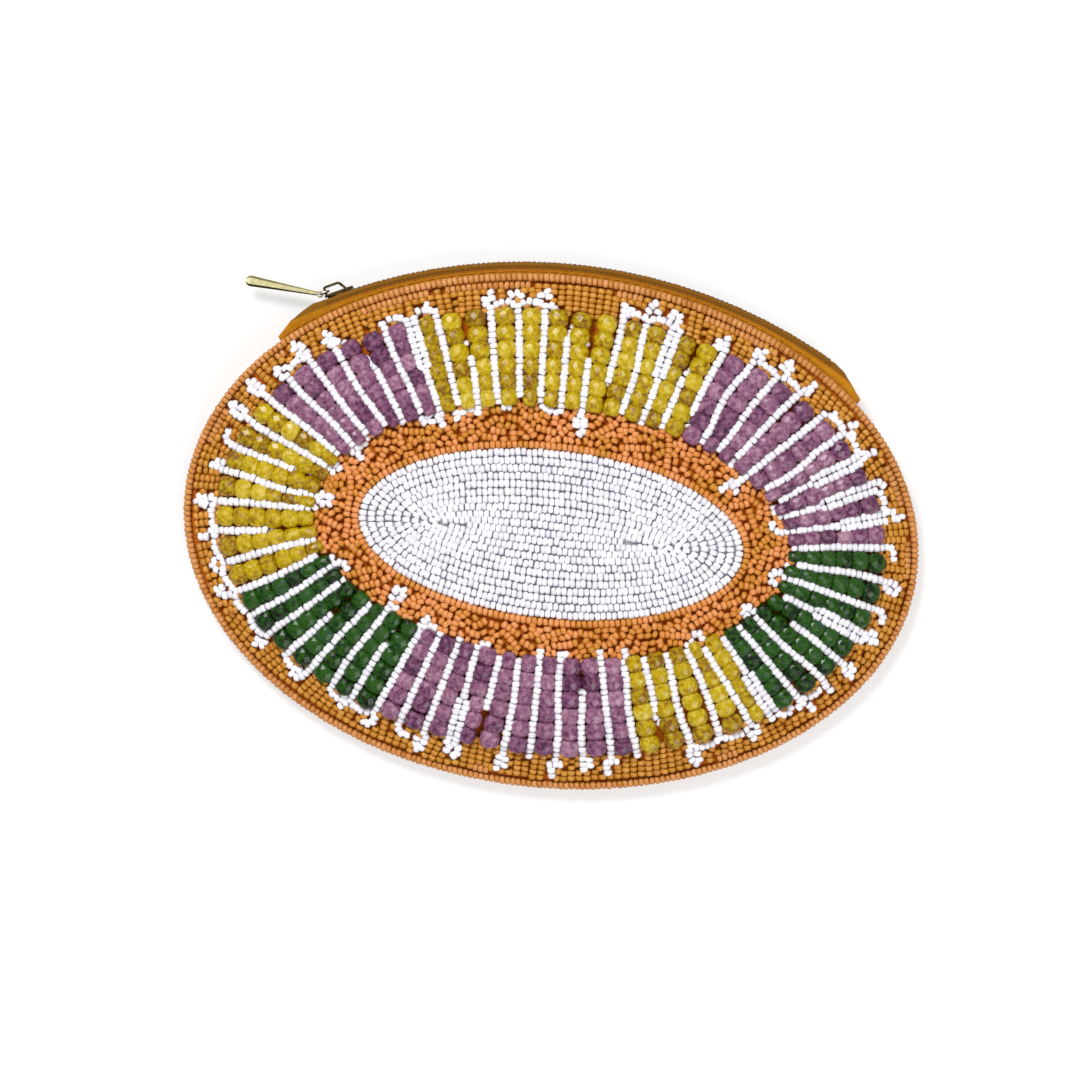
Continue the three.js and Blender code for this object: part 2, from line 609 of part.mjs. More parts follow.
function evenTurns(from, to) {
  const samples = spaced(from, to, ARC_SAMPLES);
  const lengths = [0];
  samples.slice(1).forEach((turn, k) => {
    const middle = (turn + samples[k]) / 2;
    lengths.push(lengths[k] + bandSpeed(middle) * (turn - samples[k]));
  });
  const count = Math.max(1, Math.round(lengths.at(-1) / ROW_PITCH));
  return Array.from({ length: count }, (_, row) => {
    const goal = (lengths.at(-1) * (row + 0.5)) / count;
    const k = lengths.findIndex((length) => length >= goal);
    const share = (goal - lengths[k - 1]) / (lengths[k] - lengths[k - 1]);
    return THREE.MathUtils.lerp(samples[k - 1], samples[k], share);
  });
}

const groups = CRYSTAL_GROUPS.map((group, k) => {
  const next = CRYSTAL_GROUPS[k + 1]?.from ?? CRYSTAL_GROUPS[0].from + 360;
  return { ...group, rows: evenTurns(rad(group.from), rad(next)) };
});

// Crystals: rows of faceted beads side by side. Each row has a crest that rises and falls from bead to bead,
// and the sewing thread runs from row to row at their inner ends.
function crystalRows(rows) {
  const points = [];
  const faces = [];
  const quad = (a, b, c, d) => faces.push([a, b, c], [a, c, d]);
  const bead = CRYSTAL_ROW / CRYSTAL_COUNT;
  const rowEnd = CRYSTAL_DEPTH + CRYSTAL_ROW;
  const crest = (turn, depth, share) => points.push(facePoint(depth, turn, share * CRYSTAL_BEAD)) - 1;
  const section = (turn, depth, share) => {
    const spread = (share * CRYSTAL_BEAD) / 2 / bandSpeed(turn);
    const left = points.push(facePoint(depth, turn - spread, 0)) - 1;
    const right = points.push(facePoint(depth, turn + spread, 0)) - 1;
    return { left, right, top: crest(turn, depth, share) };
  };
  const run = (near, far) => {
    quad(near.left, near.top, far.top, far.left);
    quad(near.right, far.right, far.top, near.top);
    quad(near.left, far.left, far.right, near.right);
  };
  let threadEnd = null;
  for (const turn of rows) {
    const first = section(turn, CRYSTAL_DEPTH, ROW_END);
    faces.push([first.left, first.right, first.top]);
    let near = first;
    for (let k = 0; k < CRYSTAL_COUNT; k++) {
      const belly = section(turn, CRYSTAL_DEPTH + (k + 0.5) * bead, 1);
      if (k === 0) run(near, belly);
      else {
        const waist = crest(turn, CRYSTAL_DEPTH + k * bead, CRYSTAL_WAIST);
        faces.push([near.left, near.top, waist], [near.right, waist, near.top]);
        faces.push([near.left, waist, belly.left], [near.right, belly.right, waist]);
        faces.push([belly.left, waist, belly.top], [belly.right, belly.top, waist]);
        quad(near.left, belly.left, belly.right, near.right);
      }
      near = belly;
    }
    const neck = section(turn, rowEnd - THREAD, ROW_END);
    const end = section(turn, rowEnd, ROW_END);
    run(near, neck);
    quad(neck.left, end.left, end.right, neck.right);
    faces.push([end.left, end.top, end.right]);
    faces.push([neck.left, neck.top, end.top], [neck.right, end.top, neck.top]);
    if (threadEnd) {
      quad(threadEnd.neck.right, threadEnd.end.right, end.left, neck.left);
      quad(threadEnd.end.right, threadEnd.end.top, end.top, end.left);
      quad(threadEnd.end.top, threadEnd.neck.right, neck.left, end.top);
    } else faces.push([neck.left, end.top, end.left]);
    threadEnd = { neck, end };
  }
  faces.push([threadEnd.neck.right, threadEnd.end.right, threadEnd.end.top]);
  return skin(points, faces);
}

for (const { name, colour, rows } of groups) addPiece(name, crystalRows(rows), finish(colour, 0.15));

// White seed beads: one row between every two rows of crystals, looped round the outer ends of the crystals.
const crystalTurns = groups.flatMap(({ rows }) => rows);
const nextTurns = [...crystalTurns.slice(1), crystalTurns[0] + TURN];
const whiteTurns = crystalTurns.map((turn, k) => (turn + nextTurns[k]) / 2);

function whiteStrand() {
  const points = [];
  const faces = [];
  const quad = (a, b, c, d) => faces.push([a, b, c], [a, c, d]);
  const half = SEED_BEAD / 2;
  const put = (depth, turn, lift) => points.push(facePoint(depth, turn, lift)) - 1;
  const ringStation = (depth, turn) => ({
    outer: put(depth - half, turn, 0),
    inner: put(depth + half, turn, 0),
    top: put(depth, turn, SEED_BEAD),
  });
  const ringRun = (near, far) => {
    quad(near.outer, near.inner, far.inner, far.outer);
    quad(near.inner, near.top, far.top, far.inner);
    quad(near.outer, far.outer, far.top, near.top);
  };
  const rowRun = (near, far) => {
    quad(near.left, far.left, far.right, near.right);
    quad(near.left, near.top, far.top, far.left);
    quad(near.right, far.right, far.top, near.top);
  };
  const tip = CRYSTAL_DEPTH + CRYSTAL_ROW - THREAD - SEAM_GAP;
  const depths = spaced(PICOT_DEPTH, tip, DIVIDER_STEPS).slice(1);
  const pitches = crystalTurns.map((crystalTurn, k) => {
    const turn = whiteTurns[k];
    const spread = half / bandSpeed(turn);
    const loop = ringStation(LOOP_DEPTH, crystalTurn);
    const before = ringStation(PICOT_DEPTH, turn - spread);
    const after = ringStation(PICOT_DEPTH, turn + spread);
    const peak = put(PICOT_DEPTH, turn, SEED_BEAD);
    ringRun(loop, before);
    quad(before.outer, before.inner, after.inner, after.outer);
    faces.push([before.outer, after.outer, peak]);
    faces.push([after.outer, after.top, peak], [before.outer, peak, before.top]);
    faces.push([before.inner, before.top, peak], [after.inner, peak, after.top]);
    let near = { left: before.inner, right: after.inner, top: peak };
    for (const depth of depths) {
      const left = put(depth, turn - spread, 0);
      const right = put(depth, turn + spread, 0);
      const far = { left, right, top: put(depth, turn, SEED_BEAD) };
      rowRun(near, far);
      near = far;
    }
    faces.push([near.left, near.top, near.right]);
    return { loop, after };
  });
  pitches.forEach(({ after }, k) => ringRun(after, pitches[(k + 1) % pitches.length].loop));
  return skin(points, faces);
}
addPiece("white_divider_strand", whiteStrand(), whiteBead);

// Border row, outer field, inner field and the oval of couched white rows
function rimRing(depth, spokes, lift) {
  const level = (x, y, j) => clothTop(x, y) + BEAD_GAP + lift(j);
  return ovalRing(HALF_LENGTH - depth, HALF_HEIGHT - depth, 0, spokes, level);
}
const flatLift = () => 0;
const beadLift = () => SEED_BEAD;
const beadValley = () => SEED_BEAD * (1 - ROW_DIP);

const edgeInside = EDGE_ROW_DEPTH + SEED_BEAD;
addPiece(
  "edge_bead_row",
  sheet(
    [
      rimRing(edgeInside, PANEL_SPOKES, beadValley),
      rimRing((EDGE_ROW_DEPTH + edgeInside) / 2, PANEL_SPOKES, beadLift),
      rimRing(EDGE_ROW_DEPTH, PANEL_SPOKES, beadValley),
    ],
    [rimRing(edgeInside, PANEL_SPOKES, flatLift), rimRing(EDGE_ROW_DEPTH, PANEL_SPOKES, flatLift)],
    true,
  ),
  peachBead,
);

const outerFieldInside = OUTER_FIELD_DEPTH + OUTER_FIELD_WIDTH;
const ribbed = (j) => (j % 2 ? SEED_BEAD : beadValley());
addPiece(
  "outer_bead_field",
  sheet(
    [rimRing(outerFieldInside, FIELD_SPOKES, ribbed), rimRing(OUTER_FIELD_DEPTH, FIELD_SPOKES, ribbed)],
    [rimRing(outerFieldInside, FIELD_SPOKES, flatLift), rimRing(OUTER_FIELD_DEPTH, FIELD_SPOKES, flatLift)],
    true,
  ),
  amberBead,
);

// A ring between the white oval's edge and the inner end of the crystal band
function innerFieldRing(share, lift) {
  const halfLength = OVAL_HALF_LENGTH + SEAM_GAP + share * INNER_FIELD_ENDS;
  const halfHeight = OVAL_HALF_HEIGHT + SEAM_GAP + share * INNER_FIELD_SIDES;
  const middle = (share - 1) * OVAL_DROP;
  const level = (x, y) => clothTop(x, y) + BEAD_GAP + lift();
  return ovalRing(halfLength, halfHeight, middle, PANEL_SPOKES, level);
}
const innerRows = spaced(0, 1, INNER_FIELD_ROWS);
addPiece(
  "inner_bead_field",
  sheet(
    innerRows.map((share, k) => innerFieldRing(share, k % 2 ? beadLift : beadValley)),
    [innerFieldRing(0, flatLift), innerFieldRing(1, flatLift)],
    true,
  ),
  peachBead,
);

function whiteOvalRing(share, lift) {
  const halfLength = THREE.MathUtils.lerp(OVAL_SPINE, OVAL_HALF_LENGTH, share);
  const level = (x, y) => clothTop(x, y) + BEAD_GAP + lift();
  return ovalRing(halfLength, share * OVAL_HALF_HEIGHT, -OVAL_DROP, OVAL_SPOKES, level);
}
const ovalShares = spaced(0, 1, 2 * OVAL_ROWS).slice(1);
addPiece(
  "white_oval",
  sheet(
    ovalShares.map((share, k) => whiteOvalRing(share, k % 2 ? beadValley : beadLift)),
    spaced(0, 1, OVAL_UNDER_ROWS).slice(1).map((share) => whiteOvalRing(share, flatLift)),
  ),
  whiteBead,
);

export default pouch;
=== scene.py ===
import json
import math

import bpy
import numpy as np
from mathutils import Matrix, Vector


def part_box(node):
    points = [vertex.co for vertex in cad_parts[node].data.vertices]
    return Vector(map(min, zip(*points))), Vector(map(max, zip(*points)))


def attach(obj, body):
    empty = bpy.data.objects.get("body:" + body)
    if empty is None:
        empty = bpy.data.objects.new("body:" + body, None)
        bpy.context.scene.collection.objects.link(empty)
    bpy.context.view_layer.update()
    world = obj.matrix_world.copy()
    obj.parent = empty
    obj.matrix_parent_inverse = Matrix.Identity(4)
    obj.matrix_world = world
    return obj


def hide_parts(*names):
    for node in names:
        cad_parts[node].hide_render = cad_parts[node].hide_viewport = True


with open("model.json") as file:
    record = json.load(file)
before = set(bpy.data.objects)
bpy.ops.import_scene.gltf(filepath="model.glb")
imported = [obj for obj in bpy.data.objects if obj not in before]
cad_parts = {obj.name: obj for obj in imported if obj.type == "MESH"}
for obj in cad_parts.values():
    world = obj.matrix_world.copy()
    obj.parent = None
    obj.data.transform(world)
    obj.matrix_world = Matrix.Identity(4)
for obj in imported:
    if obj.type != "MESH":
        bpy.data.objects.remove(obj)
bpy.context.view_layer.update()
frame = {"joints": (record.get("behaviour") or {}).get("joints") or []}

# Back panel: the plain side that the pouch lies on, one oval of heavy ochre cotton.
# It is cut to the outline of the face, lies flat and is sewn to the front round the sides.
MM = 0.001
WAVE_PERIOD = 2 * math.pi / 20


def linear(colour):
    channels = [int(colour[k : k + 2], 16) / 255 for k in (1, 3, 5)]
    return [c / 12.92 if c <= 0.04045 else ((c + 0.055) / 1.055) ** 2.4 for c in channels] + [1.0]


def feed(tree, made, inputs):
    for name, value in inputs.items():
        if isinstance(value, bpy.types.NodeSocket):
            tree.links.new(value, made.inputs[name])
        else:
            made.inputs[name].default_value = value


def node(tree, kind, inputs=None, **settings):
    made = tree.nodes.new("ShaderNode" + kind)
    for name, value in settings.items():
        setattr(made, name, value)
    feed(tree, made, inputs or {})
    return made


def cloudy(tree, place, size_mm, detail):
    made = node(tree, "TexNoise", {"Vector": place, "Scale": 1 / (size_mm * MM), "Detail": detail})
    return made.outputs["Fac"]


def ramp(tree, value, colours):
    made = node(tree, "ValToRGB", {"Fac": value})
    stops = made.color_ramp.elements
    while len(stops) < len(colours):
        stops.new(1.0)
    for k, colour in enumerate(colours):
        stops[k].position = k / (len(colours) - 1)
        stops[k].color = linear(colour)
    return made.outputs["Color"]


def new_look(name):
    look = bpy.data.materials.new(name)
    look.use_nodes = True
    tree = look.node_tree
    return look, tree, tree.nodes["Principled BSDF"], node(tree, "TexCoord").outputs["Object"]


def woven(name, colours, thread_mm, depth_mm, roughness):
    # A plain weave: crossing threads raised by turns and painted lighter where they are raised, a painted
    # shade of the weave, with a slow drift of tone over the cloth.
    drift_mm, crest_painted_light = 11.1, 0.22
    look, tree, surface, place = new_look(name)
    threads = [
        node(
            tree,
            "TexWave",
            {"Vector": place, "Scale": WAVE_PERIOD / (2 * thread_mm * MM), "Distortion": 0.4, "Detail": 1.0},
            bands_direction=axis,
        ).outputs["Fac"]
        for axis in "XY"
    ]
    crossing = node(tree, "Math", {0: threads[0], 1: threads[1]}, operation="ADD").outputs[0]
    drift = cloudy(tree, place, drift_mm, 4.0)
    # Painted shade of the weave: the colour is lighter where the threads are raised.
    raised_painted_lighter = node(tree, "Math", {0: crossing, 1: crest_painted_light}, operation="MULTIPLY").outputs[0]
    shade = node(tree, "Math", {0: drift, 1: raised_painted_lighter}, operation="ADD").outputs[0]
    bump = node(tree, "Bump", {"Height": crossing, "Strength": 0.6, "Distance": depth_mm * MM})
    feed(tree, surface, {"Base Color": ramp(tree, shade, colours), "Normal": bump.outputs["Normal"]})
    feed(tree, surface, {"Roughness": roughness, "Specular IOR Level": 0.2, "Sheen Weight": 0.05})
    return look


def piece(name, solid, look, node_name, body="pouch", smooth=True):
    points, faces = solid
    mesh = bpy.data.meshes.new(name)
    mesh.from_pydata(np.asarray(points) * MM, [], faces)
    mesh.polygons.foreach_set("use_smooth", [smooth] * len(faces))
    mesh.materials.append(look)
    mesh.update()
    made = bpy.data.objects.new(name, mesh)
    bpy.context.scene.collection.objects.link(made)
    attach(made, body)
    if node_name:
        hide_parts(node_name)
    return made


def full_turn(count):
    return np.linspace(0, 2 * math.pi, count, endpoint=False)


def oval_cloth(half_length, half_height, top, cloth, spokes=120, rows=24):
    # An oval of cloth with its upper face on a given height, a rounded rim and a lower face.
    turns = full_turn(spokes)
    shares = np.linspace(0, 1, rows + 1)[1:]
    eased = np.append(shares[:-1], 1 - cloth / 4 / half_height)
    section = [(s, 0.0) for s in eased] + [(1.0, -cloth / 2)] + [(s, -cloth) for s in eased[::-1]]
    points = [(0, 0, float(top(0.0, 0.0)))]
    for share, drop in section:
        x, y = share * half_length * np.cos(turns), share * half_height * np.sin(turns)
        points.extend(np.stack([x, y, top(x, y) + drop], 1))
    points.append((0, 0, float(top(0.0, 0.0)) - cloth))
    after = [(j + 1) % spokes for j in range(spokes)]
    faces = [(0, 1 + j, 1 + after[j]) for j in range(spokes)]
    for k in range(len(section) - 1):
        near, far = 1 + k * spokes, 1 + (k + 1) * spokes
        faces += [(near + j, far + j, far + after[j], near + after[j]) for j in range(spokes)]
    last = 1 + (len(section) - 1) * spokes
    faces += [(last + j, len(points) - 1, last + after[j]) for j in range(spokes)]
    return np.array(points), faces


HALF_LENGTH, HALF_HEIGHT, BACK_CLOTH = (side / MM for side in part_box("back_panel")[1])
OCHRE = ["#8f5410", "#b06a16", "#c07a22"]
ochre_cotton = woven("ochre cotton", OCHRE, thread_mm=0.45, depth_mm=0.12, roughness=0.9)
solid = oval_cloth(HALF_LENGTH, HALF_HEIGHT, lambda x, y: BACK_CLOTH + 0 * x, BACK_CLOTH)
back = piece("back_cloth", solid, ochre_cotton, "back_panel")

# Front ground cloth: rust cotton that carries all the beads and shows as the dark gaps between them.
# It is domed over the pocket, stands up along the zip and comes down to the back at the side seams.
ZIP_EDGE, SEAM_EDGE, CROWN, CROWN_POWER = 10.2, 2.5, 12.0, 2.6
FADE_FROM, FADE = math.radians(55.48), math.radians(26)
FRONT_CLOTH, DOME_EASE = 1.2, 2.0


def cloth_top(x, y):
    across = np.hypot(x / HALF_LENGTH, y / HALF_HEIGHT)
    from_zip = np.arccos(np.clip(y / HALF_HEIGHT / np.maximum(across, 1e-9), -1, 1))
    step = np.clip((from_zip - FADE_FROM) / FADE, 0, 1)
    edge = ZIP_EDGE + (SEAM_EDGE - ZIP_EDGE) * step * step * (3 - 2 * step)
    return edge + (CROWN - edge) * (1 - np.minimum(across, 1) ** CROWN_POWER)


RUST = ["#96440a", "#b4580c", "#c66812"]
rust_cotton = woven("rust cotton", RUST, thread_mm=0.4, depth_mm=0.1, roughness=0.95)
solid = oval_cloth(HALF_LENGTH, HALF_HEIGHT, cloth_top, FRONT_CLOTH)
front = piece("ground_cloth", solid, rust_cotton, "front_panel")

# Linings: two ovals of thin tan cotton inside the pocket, one on the back and one hung under the front.
# They are a little smaller than the panels and caught in the same seam.
LINING_INSET, LINING_CLOTH, BACK_LINING_TOP, FRONT_LINING_DROP = 8.0, 0.5, 1.8, 1.8
TAN = ["#9c6c2a", "#b98438", "#cc9a50"]
tan_lining = woven("tan lining cotton", TAN, thread_mm=0.25, depth_mm=0.05, roughness=0.75)
lining_size = (HALF_LENGTH - LINING_INSET, HALF_HEIGHT - LINING_INSET)
for name, node_name, top, under in (
    ("back_lining_cloth", "back_lining", lambda x, y: BACK_LINING_TOP + 0 * x, "back_cloth"),
    ("front_lining_cloth", "front_lining", lambda x, y: cloth_top(x, y) - FRONT_LINING_DROP, "ground_cloth"),
):
    solid = oval_cloth(*lining_size, top, LINING_CLOTH, spokes=96, rows=16)
    lining = piece(name, solid, tan_lining, node_name)

# Zip tapes: two strips of ochre twill tape that follow the top edge in one arc.
# Each is tucked under its panel and sewn there, comes out as a shoulder and turns in to the chain.
ARC_CENTRE = np.array(frame["joints"][0]["pos_m"]) / MM
ZIP_RADIUS, ZIP_HALF_ANGLE, CHAIN_HALF_ANGLE = 138.0, 34.0, 29.2
END_PROUD, END_ROUND = 1.4, 1.5
TAPE_CLOTH, TAPE_TUCK, TAPE_TOP, TAPE_LIP, SHOULDER = 0.5, 6.5, 8.7, 0.3, 1.1
CHAIN_HALF, CHAIN_SHADE_BAND = 2.1, (1.9, 1.3)


def zip_point(angle, radius, height):
    turn = np.radians(angle)
    x, y = radius * np.sin(turn), ARC_CENTRE[1] + radius * np.cos(turn)
    return np.stack(np.broadcast_arrays(x, y, height), -1)


def panel_edge(angle):
    # How far the outline of the face is from the centre of the zip's arc.
    sine, cosine = np.sin(np.radians(angle)), np.cos(np.radians(angle))
    square = (sine / HALF_LENGTH) ** 2 + (cosine / HALF_HEIGHT) ** 2
    middle = ARC_CENTRE[1] * cosine / HALF_HEIGHT**2
    rest = (ARC_CENTRE[1] / HALF_HEIGHT) ** 2 - 1
    return (-middle + np.sqrt(middle**2 - square * rest)) / square


def zip_radius(angle):
    past = np.maximum(0, np.abs(angle) - CHAIN_HALF_ANGLE) / (ZIP_HALF_ANGLE - CHAIN_HALF_ANGLE)
    return ZIP_RADIUS + past**END_ROUND * (panel_edge(ZIP_HALF_ANGLE) + END_PROUD - ZIP_RADIUS)


def sweep(rings, closed=False):
    # Joins rings of points in order, with end caps or back to the first ring.
    count, sides = len(rings), len(rings[0])
    spans = count if closed else count - 1
    faces = []
    for k in range(spans):
        near, far = k * sides, (k + 1) % count * sides
        faces += [(near + i, near + (i + 1) % sides, far + (i + 1) % sides, far + i) for i in range(sides)]
    if not closed:
        faces += [tuple(range(sides))[::-1], tuple((count - 1) * sides + i for i in range(sides))]
    return np.concatenate(rings), faces


def outward(points, faces):
    # Turns the faces of a closed mesh so that they look out.
    volume = sum(
        np.dot(points[f[0]], np.cross(points[f[k]], points[f[k + 1]]))
        for f in faces
        for k in range(1, len(f) - 1)
    )
    return points, faces if volume > 0 else [f[::-1] for f in faces]


def stretched(tree, value, low, high):
    made = node(tree, "MapRange", {"Value": value, "From Min": low, "From Max": high})
    return made.outputs["Result"]


def twill(name, colours, turned_edge_shade):
    # Tape cloth: fine slanted ribs; towards the chain the colour turns darker and olive, painted shade of
    # the tape's turned edge together with the nylon showing through.
    rib_mm, rib_depth_mm, fibre_mm = 0.3927, 0.1, 2.0
    look, tree, surface, place = new_look(name)
    rib_scale = WAVE_PERIOD / (rib_mm * MM)
    ribs = node(
        tree,
        "TexWave",
        {"Vector": place, "Scale": rib_scale, "Distortion": 1.5, "Detail": 2.0, "Detail Scale": 3.0},
        bands_direction="DIAGONAL",
    ).outputs["Fac"]
    fibre = cloudy(tree, place, fibre_mm, 4.0)
    # The ribs also lighten the colour on their crests: painted shade of the twill relief, mixed with the
    # fibre's own tone.
    shade = node(tree, "Mix", {"Factor": 0.85, "A": ribs, "B": fibre}).outputs[0]
    flat = node(tree, "VectorMath", {0: place, 1: (1.0, 1.0, 0.0)}, operation="MULTIPLY").outputs[0]
    hub = (0.0, ARC_CENTRE[1] * MM, 0.0)
    reach = node(tree, "VectorMath", {0: flat, 1: hub}, operation="DISTANCE").outputs["Value"]
    shade_from, shade_to = ((ZIP_RADIUS - inset) * MM for inset in CHAIN_SHADE_BAND)
    # Painted shade: the colour turns to the darker olive over the band next to the chain.
    mixed = node(tree, "MixRGB", {"Color1": ramp(tree, shade, colours), "Color2": linear(turned_edge_shade)})
    feed(tree, mixed, {"Fac": stretched(tree, reach, shade_from, shade_to)})
    bump = node(tree, "Bump", {"Height": ribs, "Strength": 0.2, "Distance": rib_depth_mm * MM})
    feed(tree, surface, {"Base Color": mixed.outputs[0], "Normal": bump.outputs["Normal"]})
    feed(tree, surface, {"Roughness": 0.85, "Specular IOR Level": 0.2})
    return look


ochre_tape = twill("ochre zip tape", ["#9a6004", "#b07208", "#be820e"], "#7c500a")
bend = np.radians([90, 67, 45, 22, 0])
level = ARC_CENTRE[2]
reach = TAPE_TOP - level


def round_bend(outer, radius, turns):
    middle, height = outer - SHOULDER, reach - SHOULDER
    return [(middle + radius * math.cos(turn), height + radius * math.sin(turn)) for turn in turns]


for side, name, node_name, under in (
    (1, "front_tape", "zip_tape_front", "ground_cloth"),
    (-1, "back_tape", "zip_tape_back", "back_cloth"),
):
    rings = []
    for angle in np.linspace(-ZIP_HALF_ANGLE, ZIP_HALF_ANGLE, 137):
        # The free edge ripples by about a tenth of a millimetre.
        ripple = 0.12 * math.sin(angle * 1.9) + 0.08 * math.sin(angle * 4.3 + side)
        outer = float(zip_radius(angle)) + TAPE_CLOTH / 2
        tuck = float(panel_edge(angle)) - TAPE_TUCK
        lip = CHAIN_HALF + TAPE_LIP
        section = [(tuck, reach)] + round_bend(outer, SHOULDER, bend)
        section += [(outer, lip), (outer - TAPE_CLOTH, lip)]
        section += round_bend(outer, SHOULDER - TAPE_CLOTH, bend[::-1]) + [(tuck, reach - TAPE_CLOTH)]
        ring = [zip_point(angle, r + ripple * (r > tuck), level + side * h) for r, h in section]
        rings.append(np.array(ring).reshape(-1, 3))
    tape = piece(name, outward(*sweep(rings)), ochre_tape, node_name)
    middle = rings[len(rings) // 2]

# Tape ends: past the chain the two tapes are sewn shut edge to edge.
# The same twill, one flat strip at each end between the shoulders.
SLIDER_ANGLE, SLIDER_LENGTH, SLIDER_GAP, END_BULGE = -26.1, 7.8, 0.3, 0.18
slider_reach = math.degrees((SLIDER_LENGTH / 2 + SLIDER_GAP) / ZIP_RADIUS)
heights = np.linspace(-CHAIN_HALF, CHAIN_HALF, 9)
bulge = END_BULGE * np.cos(heights / CHAIN_HALF * math.pi / 2)
for name, node_name, start, stop in (
    ("left_tape_end", "zip_tack_left", -ZIP_HALF_ANGLE, SLIDER_ANGLE - slider_reach),
    ("right_tape_end", "zip_tack_right", CHAIN_HALF_ANGLE, ZIP_HALF_ANGLE),
):
    rings = []
    for angle in np.linspace(start, stop, 13):
        outer = zip_point(angle, zip_radius(angle) + TAPE_CLOTH / 2 + bulge, level + heights)
        inner = zip_point(angle, zip_radius(angle) - TAPE_CLOTH / 2 + bulge, level + heights)
        rings.append(np.concatenate([outer, inner[::-1]]))
    piece(name, outward(*sweep(rings)), ochre_tape, node_name)

# Side gussets: strips of the ochre cotton that close the pouch past each end of the zip.
# Each runs along the seam and narrows to where the front comes down to the back.
GUSSET_FROM, GUSSET_TO = math.radians(51.92), math.radians(74.98)
GUSSET_INSET, GUSSET_GAP, GUSSET_FLOOR, GUSSET_SAG, PUCKER, PUCKER_RATE = 0.5, 0.5, 1.3, 0.25, 0.4, 60
share = np.linspace(0, 1, 9)
for side, name, node_name in (
    (-1, "left_gusset_cloth", "gusset_left"),
    (1, "right_gusset_cloth", "gusset_right"),
):
    rings = []
    for turn in np.linspace(GUSSET_FROM, GUSSET_TO, 25):
        x, y = side * HALF_LENGTH * math.sin(turn), HALF_HEIGHT * math.cos(turn)
        heights = np.linspace(GUSSET_FLOOR, float(cloth_top(x, y)) - FRONT_CLOTH - GUSSET_GAP, len(share))
        sag = GUSSET_SAG * np.sin(share * math.pi) * (1 + PUCKER * math.sin(turn * PUCKER_RATE))
        outer, inner = (
            np.column_stack([x * (1 - inset / HALF_LENGTH), y * (1 - inset / HALF_HEIGHT), heights])
            for inset in (GUSSET_INSET + sag, GUSSET_INSET + sag + TAPE_CLOTH)
        )
        rings.append(np.concatenate([outer, inner[::-1]]))
    piece(name, outward(*sweep(rings)), ochre_cotton, node_name)

# Zip coils: two spirals of olive-brown nylon, one sewn along each tape edge, meshed turn by turn.
# They show as the dark ribbed line along the top of the pouch.
COIL_PITCH, COIL_WIRE, COIL_DEPTH, COIL_REACH, COIL_OVERLAP = 1.3, 0.27, 0.36, 1.12, 0.1
COIL_FROM, COIL_TO, COIL_STAGGER, COIL_STEPS = -26.3, 29.0, 0.13, 14


def tube(path, radius, sides=6):
    # Rings of a round wire or thread along a path.
    ahead = np.gradient(path, axis=0)
    ahead /= np.linalg.norm(ahead, axis=1)[:, None]
    out = np.cross(ahead, [0.0, 0.0, 1.0])
    out /= np.maximum(np.linalg.norm(out, axis=1), 1e-9)[:, None]
    over = np.cross(out, ahead)
    turns = full_turn(sides)
    cosine, sine = np.cos(turns), np.sin(turns)
    return [p + radius * (np.outer(cosine, o) + np.outer(sine, v)) for p, o, v in zip(path, out, over)]


# Satin nylon: dark olive brown with paler rubbed spots and a soft shine on each turn.
WEAR_MM = 1.111
nylon, tree, surface, place = new_look("olive nylon coil")
wear = ramp(tree, cloudy(tree, place, WEAR_MM, 2.0), ["#33210a", "#5a3d12", "#7a5a22"])
feed(tree, surface, {"Base Color": wear, "Roughness": 0.42})
coil_turns = int(math.radians(COIL_TO - COIL_FROM) * ZIP_RADIUS / COIL_PITCH)
for side, name, node_name in ((1, "front_coil", "zip_coil_front"), (-1, "back_coil", "zip_coil_back")):
    phase = np.linspace(0, coil_turns, coil_turns * COIL_STEPS + 1)
    angle = COIL_FROM + (COIL_TO - COIL_FROM) * phase / coil_turns + side * COIL_STAGGER
    loop = 2 * math.pi * phase
    height = level + side * (CHAIN_HALF - COIL_REACH - COIL_OVERLAP + COIL_REACH * np.cos(loop))
    path = zip_point(angle, ZIP_RADIUS + COIL_DEPTH * np.sin(loop), height)
    piece(name, sweep(tube(path, COIL_WIRE)), nylon, node_name)

# Slider: a cast body of two nosed plates with turned-in flanges, a divider between them and a bridge on top.
# Brass, dark all over with a cloudy film; it rides on the chain.
SLIDER_WIDTH, PLATE, NOSE, CHANNEL = 5.8, 0.5, 1.4, 0.7
FLANGE, FLANGE_DEPTH, DIVIDER_FROM, DIVIDER_LENGTH, DIVIDER_WIDTH = 0.55, 0.45, 0.7, 2.2, 1.7
BRIDGE_FROM, BRIDGE_TOP_END, BRIDGE_TO, BRIDGE_LEG, BRIDGE_WIDTH = -3.3, 0.8, 2.2, 0.7, 1.4
BRIDGE_CLEAR, BRIDGE_BAR = 1.8, 0.6
PLATE_EASE, INNER_EASE, BRIDGE_EASE, SHARPEST = 0.14, 0.05, 0.12, 0.4


def prism(outline, low, high, ease):
    # A stamped plate: an outline between two heights, with eased edges.
    outline = np.array(outline, float)
    ahead = np.roll(outline, -1, 0) - outline
    ahead /= np.linalg.norm(ahead, axis=1)[:, None]
    inward = np.stack([-ahead[:, 1], ahead[:, 0]], 1)
    before = np.roll(inward, 1, 0)
    share = 1 + (inward * before).sum(1)
    inset = outline + ease * (inward + before) / np.maximum(share, SHARPEST)[:, None]
    stack = [(inset, low), (outline, low + ease), (outline, high - ease), (inset, high)]
    return outward(*sweep([np.column_stack([flat, np.full(len(flat), z)]) for flat, z in stack]))


def merged(solids):
    points, faces, start = [], [], 0
    for some_points, some_faces in solids:
        points.append(some_points)
        faces += [tuple(start + i for i in f) for f in some_faces]
        start += len(some_points)
    return np.concatenate(points), faces


def lying(outline, low, high, ease):
    # The same plate with its heights across the tape.
    points, faces = prism(outline, low, high, ease)
    return outward(points[:, [0, 2, 1]] * np.array([1, 1, -1]), faces)


